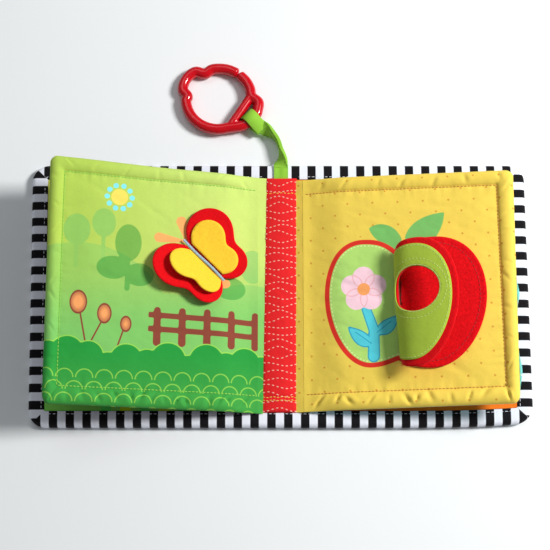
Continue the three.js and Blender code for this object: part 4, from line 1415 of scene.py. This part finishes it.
def wing_outline(kind):
    """Two round lobes over a straight sewn root."""
    wing = WINGS[kind]
    (s1, t1, r1), (s2, t2, r2) = wing["fore"], wing["hind"]
    root = wing["offset"] - 0.6
    gap_s, gap_t = s2 - s1, t2 - t1
    apart = math.hypot(gap_s, gap_t)
    along = (apart**2 + r1**2 - r2**2) / (2 * apart)
    across = math.sqrt(r1**2 - along**2)
    notch = (s1 + (along * gap_s - across * gap_t) / apart, t1 + (along * gap_t + across * gap_s) / apart)
    start = s1 - math.sqrt(r1**2 - (t1 - root) ** 2)
    end = s2 + math.sqrt(r2**2 - (t2 - root) ** 2)

    def angle(cs, ct, s, t):
        return math.degrees(math.atan2(t - ct, s - cs))

    first = angle(s1, t1, start, root) % 360
    last = angle(s1, t1, *notch)
    fore = arc_points((s1, t1), r1, first, last, 40)
    begin = angle(s2, t2, *notch) % 360
    finish = angle(s2, t2, end, root)
    hind = arc_points((s2, t2), r2, begin, finish, 34)
    outline = np.concatenate([fore, hind[1:]])
    for _ in range(26):
        outline[1:-1] = (outline[:-2] + 2 * outline[1:-1] + outline[2:]) / 4
    bottom = np.column_stack([np.linspace(outline[-1, 0], outline[0, 0], 26)[1:-1], np.full(24, root)])
    return np.concatenate([outline, bottom])[::-1] - (0, wing["offset"])


def make_wing(kind, half, material):
    """One felt wing, curled up a little towards its tip."""
    side = SIDES[half]
    wing = WINGS[kind]
    frame_here = wing_frame(kind, half)
    slide = wing["slide"] if half == "left" else 0.0
    curl = {"left": 0.0026, "right": 0.0020}[half] * (1.0 if kind == "red" else 1.3)

    def shape(x, t, h):
        lift = curl * t**2 + 0.16 * np.sin(x / 6.5 + side) * smooth(t / 12)
        lift = lift + 0.10 * soft_noise(x, t, 7.0, 31 + side)
        return move(frame_here, at(x + slide, side * t, h + lift))

    name = kind + "_wing_" + half
    sheet = cut_sheet(wing_outline(kind), 1.5)
    piece = new_object(thick_sheet(name + "_cloth", sheet, wing["felt"], shape, 0.25), material)
    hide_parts(name + "_felt")
    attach(piece, name)


# Apple

# Slope of the curled flap in degrees, by the way along it from its hinge
FLAP_CURL = {0: 105, 5: 70, 12: 36, 20: 21, 30: 14, 52: 7}
# Middle of the flap's hole, and half its width and height
FLAP_HOLE = (21.3, 8.2, 17.2, 15.6)
APPLE_INNER = 3.5
APPLE_SEAM_INSET = 4.2
APPLE_SETTLED = 0.6


def apple_frame():
    return leaf_frame("right") @ shift(APPLE[0] - LEAF_ROOT_X, APPLE[1], LEAF_SURFACE)


def flap_point(r, y, h):
    """Place on the curled flap, from the way along it, height on the page and level over its middle, lining side up."""
    table = np.linspace(0, FLAP_WIDTH + 1, 200)
    step = table[1] - table[0]
    angle = np.radians(np.interp(table, list(FLAP_CURL), list(FLAP_CURL.values())))
    for _ in range(120):
        angle[1:-1] = (angle[:-2] + 2 * angle[1:-1] + angle[2:]) / 4
    cx, cz = (
        np.concatenate([[0], np.cumsum((part[1:] + part[:-1]) / 2 * step)]) for part in (np.cos(angle), np.sin(angle))
    )
    here = np.interp(r, table, angle)
    lean = 3.0 * smooth((8 - y) / 48) * np.exp(-r / 20)
    x = np.interp(r, table, cx) - np.sin(here) * h + lean
    z = np.interp(r, table, cz) + np.cos(here) * h
    sag = 1.8 * (y / FLAP_HALF_HEIGHT) ** 2 * smooth(r / 30)
    return move(apple_frame(), at(x, y - FLAP_DROP, z + FLAP_HINGE_HEIGHT - sag))


def hole_outline(grow=0.0, count=56):
    """The flap's hole, or a line that runs so far outside of it."""
    x, y, wide, high = FLAP_HOLE
    circle = arc_points((0, 0), 1.0, 0, 360 - 360 / count, count)
    return circle * (wide + grow, high + grow) + (x, y)


def squash_flap(piece):
    """Carries a piece on the flap, with a mesh of its own."""
    chord = math.radians(FLAP_REST_ANGLE)
    direction = leaf_frame("right")[:3, :3] @ np.array([-math.sin(chord), 0, math.cos(chord)])
    anchor = move(apple_frame(), np.array([0.0, -FLAP_DROP, FLAP_HINGE_HEIGHT])) * MM
    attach(piece, "apple_flap")
    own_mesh(piece)


# Spine strip, strap and ring


STRIP_FOOT, STRIP_TOP = -82.3, 85.5
STRIP_SEAMS = (74.0, -71.9, -74.2)


def strip_edge(x, y):
    """Place across the strip once it is sewn on a little askew."""
    v = (y + 83) / 167
    left, right = 1.4 - 2.2 * v, 0.7 * v - 0.35
    return x * (1 + np.where(x < 0, left, right) / STRIP_HALF)


def strip_height(x, y, seed):
    """Top of the strip: crowned, drawn in along two of its cross seams, and a little lumpy."""
    crown = 7.15 + 1.45 * np.clip(1 - (x / STRIP_HALF) ** 2, 0, 1) ** 0.8
    seams = 0.5 * sum(np.exp(-(((y - seam) / 1.3) ** 2)) for seam in STRIP_SEAMS[:2])
    return crown - seams + 0.28 * soft_noise(x * 0.5, y, 6.0, seed) + 0.12 * soft_noise(x, y * 1.4, 2.6, seed + 2)


def make_strip(cloth, dashes, seam_thread):
    """Red strip down the spine, with wavy rows of dashes and seams across it."""
    seed = sizes().seed + 9
    half = STRIP_HALF + 0.5
    x, y = np.meshgrid(np.linspace(-half, half, 27), np.linspace(STRIP_FOOT, STRIP_TOP, 190))
    near = np.minimum(half - np.abs(x), np.minimum(STRIP_TOP - y, y - STRIP_FOOT))
    rim = STRIP_BOTTOM + 0.3
    top = rim + (strip_height(x, y, seed) - rim) * np.sqrt(smooth(near / 1.4 + 0.12))
    wide = strip_edge(x, y)
    upper, lower = at(wide, y, top), at(wide, y, STRIP_BOTTOM + 0.05)
    piece = new_object(shell("spine_strip_cloth", upper, lower, False, at(x, y, 0)), cloth)
    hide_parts("spine_strip")
    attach(piece, "spine")
    rng = np.random.default_rng(seed)
    rows = sizes().dash_rows / MM
    paths = []
    across = np.linspace(-STRIP_HALF + 0.3, STRIP_HALF - 0.3, 40)
    for k, base in enumerate(np.arange(-80.5, 84.5, rows)):
        phase = math.pi * (k % 4 > 1) + rng.uniform(-0.9, 0.9)
        wave = rng.uniform(0.7, 1.9) * np.sin((across + 5.5) / rng.uniform(3.2, 4.4) + phase)
        py = np.clip(base + wave + rng.uniform(-0.3, 0.3), -81.6, 84.8)
        paths.append(at(strip_edge(across, py), py, strip_height(across, py, seed) + 0.02))
    dash = sizes().dash / MM
    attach(stitched("spine_strip_dashes", paths, dashes, dash * 1.62, dash, 0.85, 0.3), "spine")
    seams = []
    for base in STRIP_SEAMS:
        py = base + 0.25 * np.sin(across)
        seams.append(at(strip_edge(across, py), py, strip_height(across, py, seed) + 0.1))
    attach(stitched("spine_strip_seams", seams, seam_thread, 2.4, 1.8, 0.65, 0.45), "spine")


LOOP_HEADING = np.array([-1.0, 1.0, 0.0]) / math.sqrt(2)
LOOP_AXIS = np.array([1.0, 1.0, 0.0]) / math.sqrt(2)
# The strap's way to its loop, as shares across, along and up
STRAP_WAY = [(-0.03, 0.14, 0.11), (-0.02, 0.3, 0.03), (0.05, 0.485, 0), (0.185, 0.635, 0), (0.4, 0.74, 0.02),
             (0.61, 0.815, 0.05)]


def strap_route(steps):
    """Middle of the strap from the book's edge to its loop, with its own sideways and upright directions."""
    x0, y0, z0 = STRAP_HINGE
    x1, y1 = LOOP_PLACE[:2]
    points = [(x0, 93.4, z0), (x0, 95.6, z0)]
    for across, along, rise in STRAP_WAY:
        points.append((x0 + (x1 - x0) * across, y0 + (y1 - y0) * along, 5.3 + 10 * rise))
    points.append(tuple(np.array(LOOP_PLACE) - 5.4 * LOOP_HEADING))
    way = rounded_spline(points, steps)
    heading = unit(np.gradient(way, axis=0))
    share = np.linspace(0, 1, steps + 1)
    side = unit(at(heading[:, 1], -heading[:, 0], 0))
    up = np.cross(side, heading)
    angle = np.radians(90 * smooth(share / 0.45) * smooth((1 - share) / 0.4))[:, None]
    return way, side * np.cos(angle) + up * np.sin(angle), up * np.cos(angle) - side * np.sin(angle), share


def both_faces(*lower):
    """Closed section of a tape, as shares out and up, from the points of its lower half."""
    return [*lower, *[(-out, -rise) for out, rise in lower]]


def tape_piece(name, rows, profile, line, material):
    """Closed tape from its sections. line is its middle, and profile tells how far out each point of a section lies."""
    flat = np.zeros_like(rows)
    flat[:, :, 0] = np.array([out for out, _ in profile]) * (STRAP_WIDTH / 2)
    flat[:, :, 1] = run_along(line)[:, None]
    places, faces = swept(rows)
    return new_object(outward(build_mesh(name, places, faces, flat.reshape(-1, 3), None, 50)), material)


def make_strap(material, stitches):
    """Folded tape: two runs sewn together that open into a loop round the ring's bar."""
    steps = 90
    way, across, over, share = strap_route(steps)
    half = STRAP_WIDTH / 2
    pinch = 1 - 0.12 * np.sin(math.pi * share) ** 2

    def on_tape(out, rise):
        bow = 0.9 * (1 - out * out) * np.sin(math.pi * share)
        return way + across * (half * out * pinch)[:, None] + over * (rise + bow)[:, None]

    section = both_faces(
        (-1, -0.75), (-0.98, -1), (-0.5, -1.06), (0, -1.0), (0.5, -1.06), (0.98, -1), (1, -0.75), (0.96, 0.0)
    )
    rows = np.stack([on_tape(out, 1.1 * rise) for out, rise in section], 1)
    piece = tape_piece("strap_tape", rows, section, way, material)
    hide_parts("strap")
    centre = np.array(LOOP_PLACE)
    radius, opening, tip = 5.0, 46, -7.4
    round_part = arc_points((0, 0), radius, 180 - opening, -180 + opening, 52)
    lead = np.array([(tip - 4.6, 0.6), (tip - 2.2, 0.85), (tip + 0.6, 1.8)])
    line = np.concatenate([lead, round_part, lead[::-1] * (1, -1)])
    curve = rounded_spline(at(*np.concatenate([line[::3], line[-1:]]).T, 0), 96)[:, :2]
    direction = unit(np.gradient(curve, axis=0))
    normal = np.stack([-direction[:, 1], direction[:, 0]], -1)
    upwards = np.array([0, 0, 1.0])
    profile = both_faces((-1, -0.4), (-0.97, -0.55), (0, -0.5), (0.97, -0.55), (1, -0.4))
    loop = []
    for out, rise in profile:
        place = curve + normal * rise
        loop.append(centre + LOOP_HEADING * place[:, :1] + upwards * place[:, 1:] + LOOP_AXIS * (half * out))
    turned = tape_piece("strap_loop", np.stack(loop, 1), profile, curve, material)
    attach(turned, "strap_part")
    edges = [on_tape(out, 1.2)[6:-4] for out in (-0.82, 0.82)]
    foot = centre + LOOP_HEADING * -12.6
    cross = [foot + LOOP_AXIS * t + upwards * 1.35 for t in np.linspace(-4.4, 4.4, 12)]
    seam = stitched("strap_stitches", [*edges, np.array(cross)], stitches, 2.6, 1.9, 0.5, 0.34)
    for made in (piece, seam):
        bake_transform(made)


def anchor_surface():
    """Top of the strap's sewn end, over the spine's binding and under its strip."""
    x0 = STRAP_HINGE[0]
    half = STRAP_WIDTH / 2
    x, y = np.meshgrid(np.linspace(x0 - half, x0 + half, 11), np.linspace(94.9 - 18.7, 95.2, 24))
    top = 7.75 + 0.15 * np.sin((x - x0) * 1.1) * smooth((y - 80) / 10) - 0.8 * smooth((86.5 - y) / 3)
    return x, y, top


RING_SHIFT = (0.1, -1.4)
# The ring's ear, as angles round its centre and distances outside of its round part
RING_EAR = ((175, -1.0), (165, 3.4), (147, 5.0), (129, 3.9), (117, -1.4))
# The bar across the ring's eye runs between two angles at one radius
EYE_BAR_RADIUS = 22.64
EYE_BAR_ANGLES = (1, -66)
RING_TILT = -1.689
RING_LEVEL = 5.5


def ring_route(steps):
    """Middle of the ring's bar, in millimetres round the ring's centre: round, with an ear and an eye for the strap."""
    eye_side = np.array(LOOP_PLACE[:2]) - RING_PLACE
    axis, heading = LOOP_AXIS[:2], LOOP_HEADING[:2]

    def on(angle, radius):
        a = math.radians(angle)
        return np.array([RING_SHIFT[0] + radius * math.cos(a), RING_SHIFT[1] + radius * math.sin(a)])

    def eye(along, back):
        return eye_side + axis * along + heading * back

    straight = STRAP_WIDTH / 2 + 0.6
    round_part = RING_RADIUS + 0.8
    points = [on(a, round_part) for a in np.linspace(49, 4, 4)]
    points += [eye(straight + 0.96 * RING_BAR, 0.7 * RING_BAR), eye(straight + 0.45 * RING_BAR, 0.26 * RING_BAR)]
    points += [eye(straight, 0), eye(0, 0), eye(-straight, 0), eye(-straight - 0.54 * RING_BAR, 0.26 * RING_BAR)]
    points += [on(a, round_part) for a in np.linspace(-72, -177, 7)]
    points += [on(a, round_part + out) for a, out in RING_EAR]
    points += [on(a, round_part) for a in np.linspace(-256, -301.5, 4)]
    return rounded_spline([(p[0], p[1], 0) for p in points], steps), eye_side, on


def tube(path, radius, sides=22, deep=None):
    """Round bar along a path, with rounded ends. deep stretches its lower half, one share for each place."""
    caps = 5
    heading = unit(np.gradient(path, axis=0))
    up = np.array([0.0, 0.0, 1.0])
    side = unit(np.cross(heading, up))
    angles = np.arange(sides) * math.tau / sides
    rings = []
    for k in range(caps, 0, -1):
        a = math.pi / 2 * k / (caps + 0.35)
        rings.append((path[0] - heading[0] * radius * 0.45 * math.sin(a), side[0], radius * math.cos(a)))
    rings += [(p, s, radius) for p, s in zip(path, side)]
    for k in range(1, caps + 1):
        a = math.pi / 2 * k / (caps + 0.35)
        rings.append((path[-1] + heading[-1] * radius * 0.45 * math.sin(a), side[-1], radius * math.cos(a)))
    deep = np.ones(len(path)) if deep is None else deep
    deep = np.concatenate([np.full(caps, deep[0]), deep, np.full(caps, deep[-1])])
    low = np.sin(angles) < 0
    return np.array([
        centre + across * (np.cos(angles) * r)[:, None] + up * (np.where(low, share, 1) * np.sin(angles) * r)[:, None]
        for (centre, across, r), share in zip(rings, deep)
    ])


def ring_to_book(points, eye_side):
    """From the ring's own frame to the book's, tilted in the strap's loop until it lies down."""
    moved = points - (*eye_side, 0.0)
    turned = np.array(Quaternion(Vector(LOOP_AXIS), math.radians(RING_TILT)).to_matrix())
    return moved @ turned.T + (*LOOP_PLACE[:2], RING_LEVEL)


def make_ring(material):
    """Open ring and the bar across its eye, melted into one."""
    path, eye_side, on = ring_route(260)
    deep = 1 + 0.28 * smooth((np.hypot(*(path[:, :2] - eye_side).T) - 9) / 8)
    body = tube(path, RING_BAR / 2, 24, deep=deep)
    places, faces = swept(ring_to_book(body.reshape(-1, 3), eye_side).reshape(body.shape))
    a, b = (on(angle, EYE_BAR_RADIUS) for angle in EYE_BAR_ANGLES)
    chord = at(*(a + (b - a) * np.linspace(0, 1, 70)[:, None]).T, 0)
    bar = tube(chord, CHORD_BAR / 2, 22)
    bar_places, bar_faces = swept(ring_to_book(bar.reshape(-1, 3), eye_side).reshape(bar.shape))
    count = len(places)
    everything = np.concatenate([places, bar_places])
    mesh = build_mesh("link_ring_plastic", everything, faces + [tuple(i + count for i in f) for f in bar_faces])
    piece = new_object(outward(mesh), material)
    remesh = piece.modifiers.new("Joined", "REMESH")
    remesh.mode = "VOXEL"
    remesh.voxel_size = 0.00042
    remesh.use_smooth_shade = True
    soft = piece.modifiers.new("Softened", "SMOOTH")
    soft.factor = 0.5
    soft.iterations = 8
    graph = bpy.context.evaluated_depsgraph_get()
    joined = bpy.data.meshes.new_from_object(piece.evaluated_get(graph), depsgraph=graph)
    piece.modifiers.clear()
    piece.data = joined
    joined.name = "link_ring_plastic"
    if not joined.materials:
        joined.materials.append(material)
    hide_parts("link_ring")
    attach(piece, "ring_part")


# Stage


PHOTO_WIDTH = 550
PHOTO_FOCUS = 1208
PHOTO_DISTANCE = 0.85
PHOTO_ELEVATION = 75
PHOTO_TARGET = (-0.0039, 0.016, 0)
TABLE_HALF = (4000, 3000)


def looking(data, place, target=(0, 0, 0)):
    """A light or camera at a place, turned to another."""
    made = bpy.data.objects.new(data.name, data)
    made.location = place
    made.rotation_euler = (Vector(target) - Vector(place)).to_track_quat("-Z", "Y").to_euler()
    bpy.context.scene.collection.objects.link(made)
    return made


def make_stage():
    """Table, two softboxes and the room's light, and a camera as the photo was taken."""
    scene = bpy.context.scene
    w, h = TABLE_HALF
    mesh = build_mesh("table", [(-w, -h, 0), (w, -h, 0), (w, h, 0), (-w, h, 0)], [(0, 1, 2, 3)])
    f = Finish("pale table")
    paint = f.mottled(colours().floor, f.solid(), 240.0, 0.01)
    table = new_object(mesh, f.done(paint, rough=0.75, shine=0.2))

    def area(name, place, wide, power, tint):
        light = bpy.data.lights.new(name, "AREA")
        light.shape = "RECTANGLE"
        light.size, light.size_y = wide
        light.energy = power
        light.color = tint
        looking(light, place)

    s = sizes()
    area("key softbox", (1.02, 0.29, 1.0), (0.34, 0.34), s.key_light, (1.0, 0.985, 0.965))
    area("top softbox", (-0.35, 0.75, 1.2), (0.9, 0.5), s.key_light * 0.09, (0.95, 0.98, 1.0))
    world = bpy.data.worlds.new("studio")
    scene.world = world
    world.use_nodes = True
    back = world.node_tree.nodes["Background"]
    back.inputs[0].default_value = (0.95, 0.98, 1.0, 1)
    back.inputs[1].default_value = s.fill_light
    scene.view_settings.view_transform = "Standard"
    camera = bpy.data.cameras.new("photo camera")
    camera.sensor_fit = "HORIZONTAL"
    camera.sensor_width = 36
    camera.lens = PHOTO_FOCUS / PHOTO_WIDTH * camera.sensor_width
    camera.clip_start, camera.clip_end = 0.05, 20
    elevation = math.radians(PHOTO_ELEVATION)
    away = Vector((0, -math.cos(elevation), math.sin(elevation))) * PHOTO_DISTANCE
    scene.camera = looking(camera, Vector(PHOTO_TARGET) + away, PHOTO_TARGET)


# Operators


class BOOK_OT_covers(bpy.types.Operator):
    """Makes the covers' outer cloth, linings and striped bindings"""

    bl_idname = "book.covers"
    bl_label = "Covers"

    def execute(self, context):
        c = colours()
        stripes = cotton("striped cotton", stripe_paint, rough=0.8, soft_size=5.0, soft_depth=0.25, mottle=0.025)
        white = thread("white thread", c.white)
        outer = plain_cotton("outer cotton", c.outer_cloth)
        linings = {"left": cotton("left lining cotton", left_lining_paint),
                   "right": plain_cotton("orange cotton", c.orange_lining)}
        for side in SIDES:
            make_binding(side, stripes, white)
            make_cover_sheet(side + "_outer_cloth", side, 0.02, 0.85, outer, [side + "_cover_outer", "spine_outer"],
                             -1)
            make_cover_sheet(side + "_lining_cloth", side, 5.2, 6.05, linings[side],
                             [side + "_cover_lining", "spine_lining"], 1)
        padding = wadding("cover padding", c.batting)
        for name in ("left_cover_batting", "right_cover_batting", "spine_batting"):
            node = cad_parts[name]
            node.data.materials.clear()
            node.data.materials.append(padding)
        return {"FINISHED"}


class BOOK_OT_pages(bpy.types.Operator):
    """Makes the padded pages with their prints and topstitches"""

    bl_idname = "book.pages"
    bl_label = "Pages"

    def execute(self, context):
        c = colours()
        finishes = {
            "left": (page_cotton("green page cotton", left_page_paint),
                     page_cotton("dark back cotton", left_back_paint)),
            "right": (page_cotton("yellow page cotton", right_page_paint),
                      page_cotton("turquoise back cotton", right_back_paint)),
        }
        threads = {"left": thread("lime thread", c.lime), "right": thread("ochre thread", c.dot_orange)}
        padding = wadding("page padding", c.batting)
        for side in SIDES:
            front, back = finishes[side]
            page_cloth(side + "_page_front", side, 1, front, FIGURES[side], side + "_leaf_front")
            page_cloth(side + "_page_back", side, -1, back, {}, side + "_leaf_back")
            page_padding(side, padding)
            page_stitches(side, threads[side])
            make_gusset(side, front)
        return {"FINISHED"}


class BOOK_OT_butterfly(bpy.types.Operator):
    """Makes the four felt wings and the satin seam between them"""

    bl_idname = "book.butterfly"
    bl_label = "Butterfly"

    def execute(self, context):
        c = colours()
        felts = {"red": felt("red wing felt", c.felt_red, mottle=0.06, nap=0.6),
                 "yellow": felt("yellow wing felt", c.felt_yellow, mottle=0.05, nap=0.6)}
        for half in SIDES:
            for kind in WINGS:
                make_wing(kind, half, felts[kind])
        half_seam = 19.6
        s = np.linspace(-half_seam, half_seam, 80)
        z = 2.1 + 0.25 * np.cos(s / 20 * math.pi / 2)
        path = move(butterfly_frame(), at(s, 0.25 * np.sin(s / 5), z))
        blue = thread("pale blue thread", c.seam_blue)
        seam = stitched("butterfly_satin_seam", [path], blue, 0.45, 0.5, 2.1, 1.1)
        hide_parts("butterfly_seam")
        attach(seam, "left_leaf")
        return {"FINISHED"}


class BOOK_OT_apple(bpy.types.Operator):
    """Makes the apple's sewn felt half, its flap with a round hole, and their seams"""

    bl_idname = "book.apple"
    bl_label = "Apple"

    def execute(self, context):
        c = colours()
        red = felt("red apple felt", c.felt_red, mottle=0.17, nap=1.3)
        flap_red = felt("red flap felt", c.felt_red, mottle=0.08, nap=0.8)
        olive = plain_cotton("olive cotton", c.olive)
        half_outline = apple_outline(APPLE_HALF_WIDTH, APPLE_HALF_HEIGHT, APPLE_INNER)
        place = apple_frame()

        def sewn(x, y, h):
            edge = -outline_distance(x, y, half_outline)[0]
            dent = 0.28 * np.exp(-(((edge - APPLE_SEAM_INSET) / 0.9) ** 2))
            lumps = 0.12 * (layered_noise(x, y, 4.0, 41) - 1)
            under_hole = 4.6 * (1 - smooth(x / 12)) * np.exp(-(((y - FLAP_HOLE[1]) / 15) ** 4))
            height = 1.0 + h + np.where(h > 0, lumps - dent, 0)
            return move(place, at(x - under_hole, y - APPLE_SETTLED, height))

        piece = new_object(thick_sheet("apple_sewn_felt", cut_sheet(half_outline, 1.6), 1.4, sewn, 0.2), red)
        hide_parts("apple_half_felt")
        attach(piece, "right_leaf")
        inner = apple_outline(APPLE_HALF_WIDTH - APPLE_SEAM_INSET, APPLE_HALF_HEIGHT - APPLE_SEAM_INSET, APPLE_INNER)
        path = move(place, at(*(inner - (0, APPLE_SETTLED)).T, 1.52))
        seam = stitched("apple_felt_stitches", [path], thread("red thread", c.apple_thread), 2.9, 2.2, 0.6, 0.4)
        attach(seam, "right_leaf")
        outline = apple_outline(FLAP_WIDTH, FLAP_HALF_HEIGHT, FLAP_ROOT)
        layers = (("flap_outer_felt", outline, -0.525, 1.3, flap_red, "flap_felt", "red_felt", 0.0),
                  ("flap_lining_cloth", apple_outline(FLAP_WIDTH - FLAP_RIM, FLAP_HALF_HEIGHT - FLAP_RIM, FLAP_ROOT),
                   0.775, 0.8, olive, "flap_lining", "olive_lining", 0.1))
        for name, edge, level, thick, material, node, slot, grow in layers:
            cut = cut_sheet(edge, 1.6, [hole_outline(grow)])
            mesh = thick_sheet(name, cut, thick, lambda x, y, h: flap_point(x, y, h + level), 0.2)
            made = new_object(mesh, material)
            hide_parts(node)
            squash_flap(made)
        self.flap_stitches()
        rise = np.linspace(-38, 38, 120)
        lean = 2.2 * smooth((8 - rise) / 48)
        path = move(place, at(lean, rise - FLAP_DROP, 1.6))
        hinge = stitched("flap_hinge_stitches", [path], thread("deep red thread", c.hinge_thread), 0.9, 1.0, 1.5, 2.0)
        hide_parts("flap_hinge_seam")
        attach(hinge, "right_leaf")
        return {"FINISHED"}

    def flap_stitches(self):
        """Stitches on the flap's lining: along its rim, round its hole away from the hinge, and over the hole's lip."""
        edge = apple_outline(FLAP_WIDTH - FLAP_RIM - 1.2, FLAP_HALF_HEIGHT - FLAP_RIM - 1.2, FLAP_ROOT + 0.5)
        ring = hole_outline(4.9, 90)
        ring = ring[ring[:, 0] > 3.0]
        cuts = np.nonzero(np.hypot(*np.diff(ring, axis=0).T) > 4)[0]
        rings = np.split(ring, cuts + 1)
        lip = hole_outline(0.5, 90)
        lip = np.concatenate([lip, lip[:1]])
        pale = thread("pale green thread", colours().pale_thread)

        def on_lining(line):
            return flap_point(*line.T, 1.2)

        squash_flap(stitched("flap_stitches", [on_lining(line) for line in (edge, *rings)], pale, 2.5, 1.5, 0.55, 0.35))
        squash_flap(stitched("flap_hole_stitches", [on_lining(lip)], pale, 0.9, 0.75, 0.6, 0.4))


class BOOK_OT_spine(bpy.types.Operator):
    """Makes the red strip down the spine with its wavy dashes"""

    bl_idname = "book.spine"
    bl_label = "Spine strip"

    def execute(self, context):
        c = colours()
        make_strip(plain_cotton("red strip cotton", c.strip_red, rough=0.8), thread("pale pink thread", c.strip_thread),
                   thread("amber thread", c.page_yellow))
        return {"FINISHED"}


class BOOK_OT_strap(bpy.types.Operator):
    """Makes the folded strap, its sewn end and the link ring"""

    bl_idname = "book.strap"
    bl_label = "Strap and ring"

    def execute(self, context):
        c = colours()
        tape = plain_cotton("green tape", c.strap_green, rough=0.7)
        x, y, top = anchor_surface()
        upper, lower = at(x, y, top), at(x, y, np.minimum(top - 1.0, 6.75))
        piece = new_object(shell("strap_sewn_end", upper, lower, False, at(x, y, 0)), tape)
        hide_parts("strap_anchor")
        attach(piece, "spine")
        make_strap(tape, thread("green thread", c.strap_thread))
        make_ring(glossy_plastic("red link plastic", c.ring_red))
        return {"FINISHED"}


class BOOK_OT_stage(bpy.types.Operator):
    """Makes the pale table, the studio lights and the camera"""

    bl_idname = "book.stage"
    bl_label = "Stage"

    def execute(self, context):
        make_stage()
        return {"FINISHED"}


OPERATORS = [
    BOOK_OT_stage, BOOK_OT_covers, BOOK_OT_pages, BOOK_OT_butterfly, BOOK_OT_apple, BOOK_OT_spine, BOOK_OT_strap
]


class BOOK_PT_pieces(bpy.types.Panel):
    """Lists the pieces of the cloth book and the sizes and colours they are made with"""

    bl_label = "Cloth Book"
    bl_idname = "BOOK_PT_pieces"
    bl_space_type = "VIEW_3D"
    bl_region_type = "UI"
    bl_category = "Book"

    def draw(self, context):
        column = self.layout.column(align=True)
        for operator in OPERATORS:
            column.operator(operator.bl_idname)
        for group in (context.scene.book_sizes, context.scene.book_colours):
            for name in type(group).__annotations__:
                column.prop(group, name)


CLASSES = [BookColours, BookSizes, *OPERATORS, BOOK_PT_pieces]


def register():
    for item in CLASSES:
        bpy.utils.register_class(item)
    bpy.types.Scene.book_colours = PointerProperty(type=BookColours)
    bpy.types.Scene.book_sizes = PointerProperty(type=BookSizes)


def unregister():
    del bpy.types.Scene.book_sizes
    del bpy.types.Scene.book_colours
    for item in reversed(CLASSES):
        bpy.utils.unregister_class(item)


def main():
    register()
    for operator in OPERATORS:
        group, name = operator.bl_idname.split(".")
        getattr(getattr(bpy.ops, group), name)()


if __name__ == "__main__":
    main()
